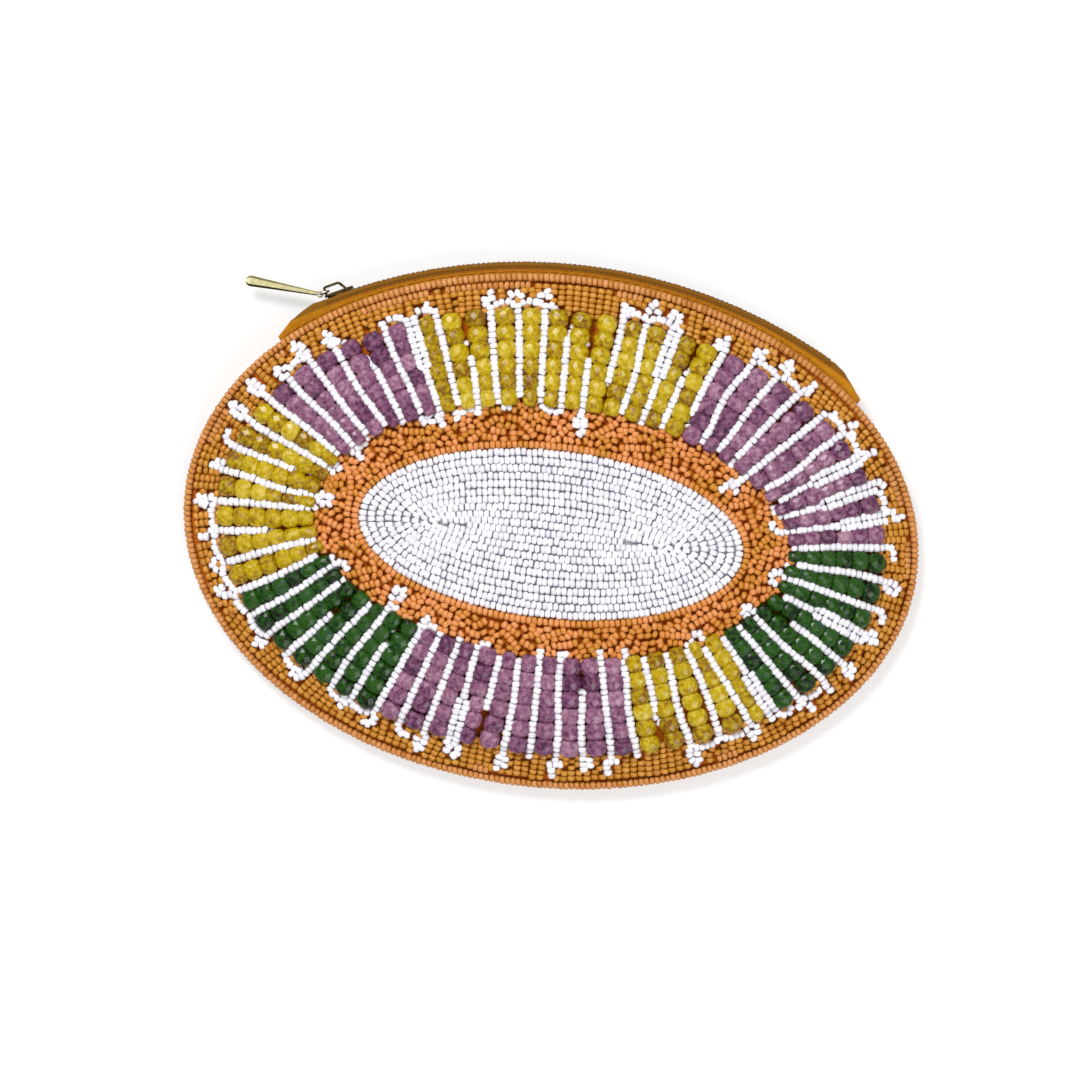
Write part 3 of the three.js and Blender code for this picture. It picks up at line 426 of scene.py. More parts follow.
def brass(name, colours, roughness, metal=1.0):
    # Polished cast brass: fine rubbed streaks and a dull film that breaks up the shine.
    film_mm, film_dulls = 1.4286, 0.2
    look, tree, surface, place = new_look(name)
    film = cloudy(tree, place, film_mm, 5.0)
    rub = node(tree, "MapRange", {"Value": film, "To Min": roughness, "To Max": roughness + film_dulls})
    feed(tree, surface, {"Base Color": ramp(tree, film, colours), "Metallic": metal})
    feed(tree, surface, {"Roughness": rub.outputs["Result"]})
    return look


def turned(points, turn):
    sine, cosine = math.sin(turn), math.cos(turn)
    return points @ np.array([[cosine, sine, 0], [-sine, cosine, 0], [0, 0, 1]])


def on_chain(solid):
    # Moves a solid from the middle of the slider to its place on the zip.
    points, faces = solid
    place = zip_point(SLIDER_ANGLE, ZIP_RADIUS, level)
    return turned(points, math.radians(-SLIDER_ANGLE)) + place, faces


nose, tail, half = -SLIDER_LENGTH / 2, SLIDER_LENGTH / 2, SLIDER_WIDTH / 2
tail_cut = NOSE / 2
plate_outline = [
    (nose, half - NOSE),
    (nose, NOSE - half),
    (nose + NOSE, -half),
    (tail - tail_cut, -half),
    (tail, tail_cut - half),
    (tail, half - tail_cut),
    (tail - tail_cut, half),
    (nose + NOSE, half),
]
plate_top = CHANNEL + PLATE
solids = [
    lying(plate_outline, CHANNEL, plate_top, PLATE_EASE),
    lying(plate_outline, -plate_top, -CHANNEL, PLATE_EASE),
]
start, stop = nose + NOSE, tail - tail_cut
for out in (-1, 1):
    for across in (-1, 1):
        low, high = sorted([across * half, across * (half - FLANGE)])
        flange = [(start, low), (stop, low), (stop, high), (start, high)]
        low, high = sorted([out * (CHANNEL - FLANGE_DEPTH / 2), out * (CHANNEL + PLATE / 2)])
        solids.append(lying(flange, low, high, INNER_EASE))
start = nose + DIVIDER_FROM
wedge = [
    (start, -DIVIDER_WIDTH / 4),
    (start + DIVIDER_LENGTH / 2, -DIVIDER_WIDTH / 2),
    (start + DIVIDER_LENGTH, 0),
    (start + DIVIDER_LENGTH / 2, DIVIDER_WIDTH / 2),
    (start, DIVIDER_WIDTH / 4),
]
solids.append(lying(wedge, -CHANNEL - PLATE / 2, CHANNEL + PLATE / 2, INNER_EASE))
leg = BRIDGE_LEG / 2
foot, under, over = plate_top - PLATE / 2, plate_top + BRIDGE_CLEAR, plate_top + BRIDGE_CLEAR + BRIDGE_BAR
bridge = [
    (BRIDGE_FROM - leg, foot),
    (BRIDGE_FROM + leg, foot),
    (BRIDGE_FROM + leg, under),
    (BRIDGE_TOP_END - leg, under),
    (BRIDGE_TO - leg, foot),
    (BRIDGE_TO + leg, foot),
    (BRIDGE_TOP_END + leg, over - leg),
    (BRIDGE_TOP_END - leg, over),
    (BRIDGE_FROM + leg, over),
    (BRIDGE_FROM - leg, over - leg),
]
solids.append(prism(bridge, -BRIDGE_WIDTH / 2, BRIDGE_WIDTH / 2, BRIDGE_EASE))
solid = on_chain(merged(solids))
dark_cast_brass = brass("dark cast brass", ["#2e2415", "#5c4a2a", "#8d7a4c"], roughness=0.25)
piece("slider_casting", solid, dark_cast_brass, "slider_body", body="slider", smooth=False)

# Pull ring: a link of round brass wire through the bridge, closed round its left leg.
# It is grey with wear and carries the tab.
LINK_WIRE, LINK_FROM, LINK_TO, LINK_HALF = 0.56, -4.83, -2.42, 1.23
link_level = plate_top + BRIDGE_CLEAR / 2


def squared(wave):
    # Draws a circle out towards its corners, so that the link has straight sides.
    return np.sign(wave) * np.sqrt(np.abs(wave))


around = full_turn(12)
rings = []
for turn in full_turn(48):
    x = (LINK_FROM + LINK_TO) / 2 + squared(math.cos(turn)) * (LINK_TO - LINK_FROM) / 2
    z = squared(math.sin(turn)) * LINK_HALF
    out = np.array([math.cos(turn), 0, math.sin(turn)])
    wire = np.outer(np.cos(around), out) + np.outer(np.sin(around), [0, 1, 0])
    rings.append(np.array([x, link_level, z]) + wire * LINK_WIRE / 2)
solid = on_chain(outward(*sweep(rings, closed=True)))
worn_brass = brass("worn brass wire", ["#6b6255", "#9a9080", "#c9c0ac"], roughness=0.22)
piece("pull_link", solid, worn_brass, "pull_ring", body="ring")

# Pull tab: a slim cast paddle that widens from a round eye to its free end, with bevelled sides.
# Pale polished brass; it lies back over the end of the zip.
TAB_LENGTH, TAB_WIDTH, TAB_NECK, TAB_THICK, TAB_ROUND = 19.5, 2.8, 1.1, 1.0, 1.4
TAB_START, NECK_LENGTH, BEVEL, BEVEL_SHARE, SIDE_SHARE, END_THINS = 0.75, 1.8, 0.55, 0.45, 0.25, 0.25
EYE, EYE_WALL, EYE_HALF = 0.53, 0.4, 0.45
TAB_TURN, TIP_GAP = math.radians(149.3), 0.02
round_from = TAB_LENGTH - TAB_ROUND
round_end = round_from + (TAB_ROUND - TIP_GAP) * np.sin(np.linspace(0.2, 1.55, 9))
lengths = np.concatenate([np.linspace(TAB_START, round_from, 24), round_end])
rings = []
for x in lengths:
    share = (x - NECK_LENGTH) / (round_from - NECK_LENGTH)
    wide = (TAB_NECK + (TAB_WIDTH - TAB_NECK) * min(max(share, 0), 1)) / 2
    into_round = max(x - round_from, 0) / TAB_ROUND
    wide *= math.sqrt(max(1 - into_round**2, 0.002))
    thick = TAB_THICK / 2 * (1 - END_THINS * into_round)
    bevel, rim = min(BEVEL_SHARE * wide, BEVEL), SIDE_SHARE * thick
    section = [(-wide, -rim), (bevel - wide, -thick), (wide - bevel, -thick), (wide, -rim)]
    section += [(y, -z) for y, z in section[::-1]]
    rings.append(np.array([(x, y, z) for y, z in section]))
paddle = outward(*sweep(rings))
around = full_turn(10)
radius = EYE + EYE_WALL / 2 + EYE_WALL / 2 * np.cos(around)
rings = [
    np.column_stack([radius * math.cos(turn), radius * math.sin(turn), EYE_HALF * np.sin(around)])
    for turn in full_turn(32)
]
eye = outward(*sweep(rings, closed=True))
points, faces = merged([paddle, eye])
solid = on_chain((turned(points, TAB_TURN) + np.array([LINK_FROM, link_level, 0]), faces))
# The flats are pale brass; the bevels are painted darker as painted shade and painted reflection, olive on
# one side and darkest on the side that faces the cloth.
pale_brass = brass("pale brass", ["#d0c890", "#dcd4a0", "#e8e2b6"], roughness=0.2, metal=0.7)
tab = piece("tab_casting", solid, pale_brass, "pull_tab", body="tab", smooth=False)
tab.data.materials.append(brass("olive bevel painted reflection", ["#857b4c", "#9a9060", "#aca274"], roughness=0.3))
tab.data.materials.append(brass("dark bevel painted shade", ["#2e2818", "#484028", "#6a5f40"], roughness=0.3))
# Per face of a section: 0 pale flat, 1 olive bevel with painted reflection, 2 dark bevel with painted shade.
SECTION_PAINTED_SHADE = (1, 0, 2, 2, 2, 0, 1, 1)
for k in range((len(lengths) - 1) * len(SECTION_PAINTED_SHADE)):
    tab.data.polygons[k].material_index = SECTION_PAINTED_SHADE[k % len(SECTION_PAINTED_SHADE)]

# White oval: white glass seed beads strung and couched down in rows that close on a long spine.
# Rows sit shoulder to shoulder, each bead with its hole along the row; the thread gaps show as grey.
BEAD_LENGTH, BEAD_RADIUS, BEAD_SHOULDER, BEAD_HOLE, BEAD_LIFT, BEAD_PITCH = 1.32, 1.0, 0.72, 0.42, 1.12, 1.42
FOOT_ASIDE, FOOT_RADIUS = 0.4, 0.62
OVAL_HALF_LENGTH, OVAL_HALF_HEIGHT, OVAL_DROP, OVAL_SPINE, OVAL_ROWS = 49.4, 21.45, 0.6, 26.0, 10
rng = np.random.default_rng(11)


def lathe(profile, segments, twist=0.0):
    # Rings of a turned bead, from a profile of (along, radius).
    rings = []
    for k, (along, radius) in enumerate(profile):
        turns = full_turn(segments) + twist * k
        y, z = radius * np.cos(turns), radius * np.sin(turns)
        rings.append(np.column_stack([np.full(segments, along), y, z]))
    return rings


half = BEAD_LENGTH / 2
seed_profile = [
    (-0.52 * half, BEAD_RADIUS),
    (0.52 * half, BEAD_RADIUS),
    (half, BEAD_SHOULDER),
    (0.8 * half, BEAD_HOLE),
    (-0.8 * half, BEAD_HOLE),
    (-half, BEAD_SHOULDER),
]
seed = outward(*sweep(lathe(seed_profile, 10), closed=True))
# The places on the face that already have a bead.
occupied = {}
CELL = 3.0


def claim(x, y, radius):
    occupied.setdefault((int(x // CELL), int(y // CELL)), []).append((x, y, radius))


def is_clear(x, y, radius, slack):
    column, row = int(x // CELL), int(y // CELL)
    for i in (column - 1, column, column + 1):
        for j in (row - 1, row, row + 1):
            for a, b, other in occupied.get((i, j), ()):
                if (x - a) ** 2 + (y - b) ** 2 < (radius + other - slack) ** 2:
                    return False
    return True


def footprint(x, y, heading):
    # A seed bead is wider than it is long, so it stands on two small rounds side by side.
    across = (-math.sin(heading) * FOOT_ASIDE, math.cos(heading) * FOOT_ASIDE)
    return [(x + across[0], y + across[1]), (x - across[0], y - across[1])]


def bead_fits(x, y, heading, slack):
    return all(is_clear(a, b, FOOT_RADIUS, slack) for a, b in footprint(x, y, heading))


def strung(template, places):
    # Lays a copy of the template at each place, with its hole along the heading, square on the cloth.
    shape, template_faces = template
    x, y, heading, size, lift, width = np.array(places).T
    step = 0.2
    slope_x = (cloth_top(x + step, y) - cloth_top(x - step, y)) / (2 * step)
    slope_y = (cloth_top(x, y + step) - cloth_top(x, y - step)) / (2 * step)
    normal = np.stack([-slope_x, -slope_y, np.ones_like(x)], 1)
    normal /= np.linalg.norm(normal, axis=1)[:, None]
    cosine, sine = np.cos(heading), np.sin(heading)
    along = np.stack([cosine, sine, slope_x * cosine + slope_y * sine], 1)
    along /= np.linalg.norm(along, axis=1)[:, None]
    aside = np.cross(normal, along)
    centre = np.stack([x, y, cloth_top(x, y)], 1) + normal * lift[:, None]
    axes = np.stack([along, aside * width[:, None], normal], 1)
    points = centre[:, None, :] + size[:, None, None] * np.einsum("vk,nkc->nvc", shape, axes)
    corners = np.array(template_faces)
    faces = corners[None] + (np.arange(len(x)) * len(shape))[:, None, None]
    return points.reshape(-1, 3), faces.reshape(-1, corners.shape[1]).tolist()


def along_ring(half_length, half_height, middle_y, pitch, start=0.0):
    # Even places along an oval, with the direction of travel at each.
    turns = np.linspace(0, 2 * math.pi, 2001)
    x, y = half_length * np.cos(turns), middle_y + half_height * np.sin(turns)
    length = np.concatenate([[0], np.cumsum(np.hypot(np.diff(x), np.diff(y)))])
    count = max(3, round(length[-1] / pitch))
    at = (np.arange(count) + start) / count * length[-1]
    turn = np.interp(at, length, turns)
    heading = np.arctan2(half_height * np.cos(turn), -half_length * np.sin(turn))
    return half_length * np.cos(turn), middle_y + half_height * np.sin(turn), heading, turn


def seed_glass(name, colours, clumps=0.0):
    # Opaque seed-bead glass: a glossy pressed surface, each bead its own shade, shades drifting in clumps.
    clump_mm = 9.091
    look, tree, surface, place = new_look(name)
    one = node(tree, "NewGeometry").outputs["Random Per Island"]
    drift = cloudy(tree, place, clump_mm, 1.0)
    spread = stretched(tree, drift, 0.3, 0.7)
    shade = node(tree, "Mix", {"Factor": clumps, "A": one, "B": spread}).outputs[0]
    feed(tree, surface, {"Base Color": ramp(tree, shade, colours)})
    feed(tree, surface, {"Roughness": 0.32, "Specular IOR Level": 0.4})
    return look


def sewn(x, y, heading, size=1.02):
    # One seed bead as it is sewn down: a little uneven in size and in how high it sits.
    for a, b in footprint(x, y, heading):
        claim(a, b, FOOT_RADIUS)
    return x, y, heading, rng.normal(size, 0.03), BEAD_LIFT + rng.normal(0, 0.06), 1.0


white_glass = seed_glass("white seed glass", ["#dad7e0", "#e8e6ec", "#f2f0f6", "#e4e1e6"])
places = []
for row in range(1, OVAL_ROWS + 1):
    share = row / OVAL_ROWS
    length = OVAL_SPINE + (OVAL_HALF_LENGTH - BEAD_RADIUS - OVAL_SPINE) * share
    height = (OVAL_HALF_HEIGHT - BEAD_RADIUS) * share
    for x, y, heading, _ in zip(*along_ring(length, height, -OVAL_DROP, BEAD_PITCH, rng.random())):
        x, y = x + rng.normal(0, 0.06), y + rng.normal(0, 0.1)
        heading += rng.normal(0, 0.09)
        if row > 1 or bead_fits(x, y, heading, 0.35):
            places.append(sewn(x, y, heading))
x = -OVAL_SPINE
while x < OVAL_SPINE:
    fits = bead_fits(x, -OVAL_DROP, 0.0, 0.45)
    if fits:
        places.append(sewn(x, -OVAL_DROP, rng.normal(0, 0.1)))
    x += BEAD_PITCH if fits else 0.1
piece("white_oval_beads", strung(seed, places), white_glass, "white_oval")

# Couching bed: the white thread that holds the oval's rows down, a thin mat under the beads.
# It is coloured grey, painted shade for the gaps between the white beads, and hides the rust cloth there.
COUCHING, COUCHING_TOP, COUCHING_INSET = 0.25, 0.35, 0.6
# Greys, not white: painted shade for the gaps between the white beads.
SHADED_THREAD_GREYS = ["#a09da4", "#b8b5bc", "#cac7ce"]
grey_shaded_thread = woven("white couching thread painted grey", SHADED_THREAD_GREYS, thread_mm=0.3, depth_mm=0.08, roughness=0.9)
couching_size = (OVAL_HALF_LENGTH - COUCHING_INSET, OVAL_HALF_HEIGHT - COUCHING_INSET)
points, faces = oval_cloth(*couching_size, lambda x, y: cloth_top(x, y - OVAL_DROP) + COUCHING_TOP, COUCHING)
points -= np.array([0, OVAL_DROP, 0])
couching = piece("white_couching_painted_grey", (points, faces), grey_shaded_thread, None)

# Crystals: rows of faceted glass beads in eight groups of colour that ring the inner field.
# Six to a row, strung from the outline inwards, end to end, as wide as the white rows leave room for.
CRYSTAL_RADIUS, CRYSTAL_LENGTH, CRYSTAL_LIFT, CRYSTALS = 2.0, 4.3, 2.1, 6
CRYSTAL_SIDES, NARROWEST, WIDEST = 9, 0.78, 1.3
ROW_PITCH, ROW_LEAN, ONE_STRING, TWO_STRINGS = 6.1, 1.25, 0.6, 1.6
STOPS_SHORT, STARTS_LATE, DOUBLED = 0.16, 0.24, 0.17
BAND_OUTER, BAND_INNER = 9.2, 34.0
BAND_MIDDLE = (BAND_OUTER + BAND_INNER) / 2


def face_point(depth, turn):
    # A place on the face by its depth from the outline along a row, and the row's turn about the middle.
    lean = np.arctan2(ROW_LEAN * np.sin(turn), np.cos(turn))
    x = (HALF_LENGTH - BAND_MIDDLE) * np.cos(turn) + (BAND_MIDDLE - depth) * np.cos(lean)
    y = (HALF_HEIGHT - BAND_MIDDLE) * np.sin(turn) + (BAND_MIDDLE - depth) * np.sin(lean)
    return x, y


def inwards(turn):
    return math.atan2(ROW_LEAN * math.sin(turn), math.cos(turn)) + math.pi


def even_turns(start, stop):
    # The turns of the rows of a group, one row pitch apart in the middle of the band.
    turns = np.linspace(math.radians(start), math.radians(stop), 400)
    length, height = HALF_LENGTH - BAND_MIDDLE, HALF_HEIGHT - BAND_MIDDLE
    speed = np.hypot(length * np.sin(turns), height * np.cos(turns))
    length = np.concatenate([[0], np.cumsum((speed[1:] + speed[:-1]) / 2 * np.diff(turns))])
    count = max(1, round(length[-1] / ROW_PITCH))
    return np.interp((np.arange(count) + 0.5) / count * length[-1], length, turns)


def crystal_glass(name, colours):
    # Faceted glass: tinted and part clear; each bead has its own depth of colour.
    # Patches and streaks of colour are painted reflections of the far facets, with the hole and the thread
    # showing through.
    patch_mm, streak_mm = 1.3, 1.0
    look, tree, surface, place = new_look(name)
    one = node(tree, "NewGeometry").outputs["Random Per Island"]
    patch = node(tree, "TexVoronoi", {"Vector": place, "Scale": 1 / (patch_mm * MM)}).outputs["Color"]
    streak = stretched(tree, cloudy(tree, place, streak_mm, 3.0), 0.3, 0.7)
    # Painted reflections: patches and streaks of darker and lighter colour inside each bead.
    reflections_and_hole = node(tree, "Mix", {"Factor": 0.55, "A": patch, "B": streak}).outputs[0]
    shade = node(tree, "Mix", {"Factor": 0.65, "A": one, "B": reflections_and_hole}).outputs[0]
    tint = ramp(tree, stretched(tree, shade, 0.25, 0.75), colours)
    feed(tree, surface, {"Base Color": tint, "Roughness": 0.28, "IOR": 1.5})
    feed(tree, surface, {"Specular IOR Level": 0.22, "Transmission Weight": 0.4})
    return look


FACETS = [(-0.5, 0.64), (-0.36, 0.9), (-0.13, 1.03), (0.13, 1.03), (0.36, 0.9), (0.5, 0.64)]
crystal_profile = [(along * CRYSTAL_LENGTH, radius * CRYSTAL_RADIUS) for along, radius in FACETS]
points, faces = outward(*sweep(lathe(crystal_profile, CRYSTAL_SIDES, -math.pi / CRYSTAL_SIDES)))
crystal = points, [(face[0], face[k], face[k + 1]) for face in faces for k in range(1, len(face) - 1)]
purple = crystal_glass("purple crystal glass", ["#5a2c4e", "#824c70", "#9c6488", "#b27c98", "#cc9cb4"])
yellow = crystal_glass("yellow crystal glass", ["#906002", "#ba9402", "#d0b002", "#e0c20a", "#f0d85a"])
GREENS = ["#061602", "#0e3202", "#1a4c02", "#2a6202", "#345e12", "#2c5a40"]
green = crystal_glass("green crystal glass", GREENS)
GROUPS = [
    ("purple_right", 5, purple),
    ("yellow_top", 62, yellow),
    ("purple_top_left", 120, purple),
    ("yellow_left", 153, yellow),
    ("green_bottom_left", 203, green),
    ("purple_bottom", 241.5, purple),
    ("yellow_bottom_right", 289.5, yellow),
    ("green_right", 317, green),
]
rng = np.random.default_rng(23)
spans = [
    even_turns(start, following[1] + (360 if following[1] < start else 0))
    for (_, start, _), following in zip(GROUPS, GROUPS[1:] + GROUPS[:1])
]
crystal_turns = np.concatenate(spans)
rows = len(crystal_turns)
divider_turns = (crystal_turns + np.append(crystal_turns[1:], crystal_turns[0] + 2 * math.pi)) / 2
pull = rng.normal(0, 0.9, rows)
pull = (np.roll(pull, 1) + 2 * pull + np.roll(pull, -1)) / 4
drift, phase = rng.normal(0, 0.22, rows), rng.random(rows) * 2 * math.pi
divider_from, divider_to = np.full(rows, -2.0), np.full(rows, 2.0)
for k in range(rows):
    cut = rng.random()
    if cut < STOPS_SHORT:
        divider_to[k] = rng.uniform(0.45, 0.8)
    elif cut < STARTS_LATE:
        divider_from[k] = rng.uniform(0.2, 0.5)
doubled_to = np.where(rng.random(rows) < DOUBLED, rng.uniform(0.3, 0.6, rows), -1.0)


def divider(k, depth):
    # A white row wanders a little to either side of its straight line.
    share = (depth - BAND_OUTER) / (BAND_INNER - BAND_OUTER)
    aside = pull[k] * math.sin(2.4 * share + phase[k]) + drift[k] * math.sin(7.0 * share + phase[k])
    aside *= 1.0 - 0.5 * min(max(share, 0.0), 1.0)
    heading = inwards(divider_turns[k])
    x, y = face_point(depth, divider_turns[k])
    return np.array([x - aside * math.sin(heading), y + aside * math.cos(heading)])


def half_divider(k, depth):
    # Half the room that a white row takes up: none where it has stopped, more where it is two strings.
    share = (depth - BAND_OUTER) / (BAND_INNER - BAND_OUTER)
    if not divider_from[k] < share < divider_to[k]:
        return 0.0
    return TWO_STRINGS if share < doubled_to[k] else ONE_STRING


first_row = 0
for (name, _, look), turns in zip(GROUPS, spans):
    places = []
    for k in range(first_row, first_row + len(turns)):
        for place in range(CRYSTALS):
            depth = BAND_OUTER + (BAND_INNER - BAND_OUTER) * (place + 0.5) / CRYSTALS + rng.normal(0, 0.1)
            sides = divider(k - 1, depth), divider(k, depth)
            span = math.dist(*sides)
            low, high = half_divider(k - 1, depth) / span, 1 - half_divider(k, depth) / span
            x, y = sides[0] + (sides[1] - sides[0]) * (low + high) / 2
            wide = float(np.clip((high - low) * span / (2 * CRYSTAL_RADIUS), NARROWEST, WIDEST))
            heading = inwards(crystal_turns[k]) + rng.normal(0, 0.05)
            places.append((x, y, heading, 1.0, CRYSTAL_LIFT, wide))
            claim(x, y, CRYSTAL_RADIUS * min(wide, 1.05) - 0.15)
    group, slot = "crystals_" + name, name.split("_")[0] + "_crystal"
    piece(group + "_beads", strung(crystal, places), look, group, smooth=False)
    first_row += len(turns)

# White divider rows: one string of white seed beads between every two rows of crystals.
# They ride up between the crystals and wander with them; a few stop short, some start as two strings
# side by side, and some go on into the inner field.
ROW_RISE, STRING_ASIDE, ROW_BEAD, GOES_ON = 1.15, 1.05, 1.12, 0.3
rng = np.random.default_rng(37)
places, outer_ends, inner_ends = [], [], []
for k in range(rows):
    first, last = BAND_OUTER - 0.4 - rng.random(), BAND_INNER - 0.9 + rng.normal(0, 0.8)
    if rng.random() < GOES_ON:
        last += BEAD_PITCH * rng.integers(1, 3)
    row = []
    for depth in np.arange(first, last, BEAD_PITCH):
        room = half_divider(k, depth)
        if room == 0:
            continue
        middle = divider(k, depth)
        ahead = divider(k, depth + 0.5) - middle
        heading = math.atan2(ahead[1], ahead[0])
        rise = ROW_RISE * min(max((BAND_INNER - depth) / 2, 0), max((depth - BAND_OUTER) / 2, 0), 1)
        for aside in (-STRING_ASIDE, STRING_ASIDE) if room == TWO_STRINGS else (0.0,):
            x = middle[0] - aside * math.sin(heading) + rng.normal(0, 0.07)
            y = middle[1] + aside * math.cos(heading) + rng.normal(0, 0.07)
            bead = sewn(x, y, heading + rng.normal(0, 0.14), ROW_BEAD)
            row.append(bead[:4] + (bead[4] + rise, 1.0))
    outer_ends.append(row[0][:3])
    inner_ends.append(row[-1][:3])
    places += row
piece("white_divider_rows", strung(seed, places), white_glass, "white_divider_strand")

# White picots: small loops, hooks and knots of white seed beads at the ends of the divider rows.
# Some close round the end of a crystal row, most stand out into the fields on either side.
LOOPS_OUTER, LOOPS_INNER, PICOTS_OUTER, PICOTS_INNER = 0.42, 0.2, 0.85, 0.5
LOOP_OUT, LOOP_IN, PICOT_SLACK = 3.0, 2.4, 0.5
ROUND_LOOP, SLIM_LOOP, TEE, HOOK = 0.08, 0.55, 0.7, 0.86
places = []


def lay(origin, heading, path):
    # Strings white beads along a path of (ahead, aside) steps from an origin that looks along a heading.
    sine, cosine = math.sin(heading), math.cos(heading)
    line = np.array(path, float) @ [[cosine, sine], [-sine, cosine]] + origin
    length = np.concatenate([[0], np.cumsum(np.hypot(*np.diff(line, axis=0).T))])
    for at in np.arange(BEAD_PITCH, length[-1] + 0.1, BEAD_PITCH):
        x, y = (np.interp(at, length, line[:, axis]) for axis in (0, 1))
        back_x, back_y = (np.interp(at - 0.4, length, line[:, axis]) for axis in (0, 1))
        along = math.atan2(y - back_y, x - back_x)
        if bead_fits(x, y, along, PICOT_SLACK):
            x, y = x + rng.normal(0, 0.12), y + rng.normal(0, 0.12)
            places.append(sewn(x, y, along + rng.normal(0, 0.22), ROW_BEAD))


def ring_path(along, aside):
    turns = np.linspace(0, 2 * math.pi, 25)
    return np.column_stack([along - along * np.cos(turns), aside * np.sin(turns)])


def picot(end, heading):
    hand = rng.choice((-1, 1))
    kind = rng.random()
    if kind < ROUND_LOOP:
        paths = [ring_path(rng.uniform(1.45, 1.8), rng.uniform(1.3, 1.7))]
    elif kind < SLIM_LOOP:
        paths = [ring_path(rng.uniform(1.9, 2.6), rng.uniform(0.9, 1.15))]
    elif kind < TEE:
        paths = [[(1.3, -2.9), (1.3, 1.7)], [(0, 0.9), (4.4, 0.9)]]
    elif kind < HOOK:
        paths = [[(0, 0), (1.2, 0.3), (2.1, 1.5), (1.9, 3.0), (1.2, 4.0)]]
    else:
        paths = [[(0, 0), (3.2, 0.5)], [(-1.2, 1.9), (2.0, 1.9)]]
    for path in paths:
        lay(end, heading, [(ahead, aside * hand) for ahead, aside in path])


def loop_round(first, depth, turn, second):
    # Joins the ends of two white rows in a bow round the end of the crystal row between them.
    over = np.array(face_point(depth, turn))
    start, stop = np.array(first[:2]), np.array(second[:2])
    share = np.linspace(0, 1, 13)[:, None]
    lay((0, 0), 0, start * (1 - share) ** 2 + 2 * share * (1 - share) * over + stop * share**2)


for k in range(rows):
    following = (k + 1) % rows
    between = crystal_turns[following]
    if rng.random() < LOOPS_OUTER:
        loop_round(outer_ends[k], BAND_OUTER - LOOP_OUT, between, outer_ends[following])
    if rng.random() < LOOPS_INNER:
        loop_round(inner_ends[k], BAND_INNER + LOOP_IN, between, inner_ends[following])
    if rng.random() < PICOTS_OUTER:
        picot(outer_ends[k][:2], outer_ends[k][2] + math.pi)
    if rng.random() < PICOTS_INNER:
        picot(inner_ends[k][:2], inner_ends[k][2])
piece("white_picots", strung(seed, places), white_glass, "white_divider_strand")

# Border row: peach seed beads strung along the outline, flat side by side, that finish the edge of the face.
# A second row runs inside it in places along the zip.
BORDER_DEPTH, SECOND_DEPTH, BORDER_PITCH = 1.0, 3.05, 1.38
rng = np.random.default_rng(41)
PEACHES = ["#aa651e", "#b97733", "#c18041", "#c98a4c", "#b26f28"]
peach_glass = seed_glass("peach seed glass", PEACHES, clumps=0.3)
places = []
ring = along_ring(HALF_LENGTH - BORDER_DEPTH, HALF_HEIGHT - BORDER_DEPTH, 0, BORDER_PITCH)
for x, y, heading, _ in zip(*ring):
    places.append(sewn(x, y, heading + rng.normal(0, 0.1)))
ring = along_ring(HALF_LENGTH - SECOND_DEPTH, HALF_HEIGHT - SECOND_DEPTH, 0, BORDER_PITCH)
for x, y, heading, turn in zip(*ring):
    # The second row comes and goes, and comes most often towards the zip.
    comes = math.sin(7.3 * turn) + math.sin(17.9 * turn + 1) > 0.9 - 0.9 * math.sin(turn)
    if comes and bead_fits(x, y, heading, 0.25):
        places.append(sewn(x, y, heading + rng.normal(0, 0.12)))
piece("border_beads", strung(seed, places), peach_glass, "edge_bead_row")

# Outer field: amber seed beads in short strings that run in from the border row, side by side in blocks.
# They fill what the picots leave; the rust cloth shows between the blocks.
COLUMN_PITCH, STRING_PITCH, FIELD_FROM, FIELD_TO, FILL_TRIES = 2.02, 1.36, 2.75, 10.4, 14000
rng = np.random.default_rng(43)
AMBERS = ["#9e6013", "#b3741b", "#bb7d25", "#c78932", "#ae701b", "#cb8f42"]
amber_glass = seed_glass("amber seed glass", AMBERS, clumps=0.35)
places = []


def try_bead(x, y, heading, slack):
    if not bead_fits(x, y, heading, slack):
        return False
    places.append(sewn(x, y, heading))
    return True


ring = along_ring(HALF_LENGTH - FIELD_FROM, HALF_HEIGHT - FIELD_FROM, 0, COLUMN_PITCH)
strings_left = 0
for x, y, heading, _ in zip(*ring):
    if strings_left == 0:
        strings_left, start, tilt = rng.integers(3, 8), 0.7 * rng.random(), rng.normal(0, 0.1)
    strings_left -= 1
    into, step = heading + math.pi / 2 + tilt, start
    while step < FIELD_TO - FIELD_FROM:
        px, py = x + step * math.cos(into), y + step * math.sin(into)
        step += STRING_PITCH if try_bead(px, py, into + rng.normal(0, 0.08), 0.3) else 0.2
for _ in range(FILL_TRIES):
    turn, depth = rng.random() * 2 * math.pi, FIELD_FROM + (FIELD_TO - FIELD_FROM) * rng.random()
    x, y = (HALF_LENGTH - depth) * math.cos(turn), (HALF_HEIGHT - depth) * math.sin(turn)
    try_bead(x, y, rng.random() * math.pi, 0.34)
piece("outer_field_beads", strung(seed, places), amber_glass, "outer_bead_field")

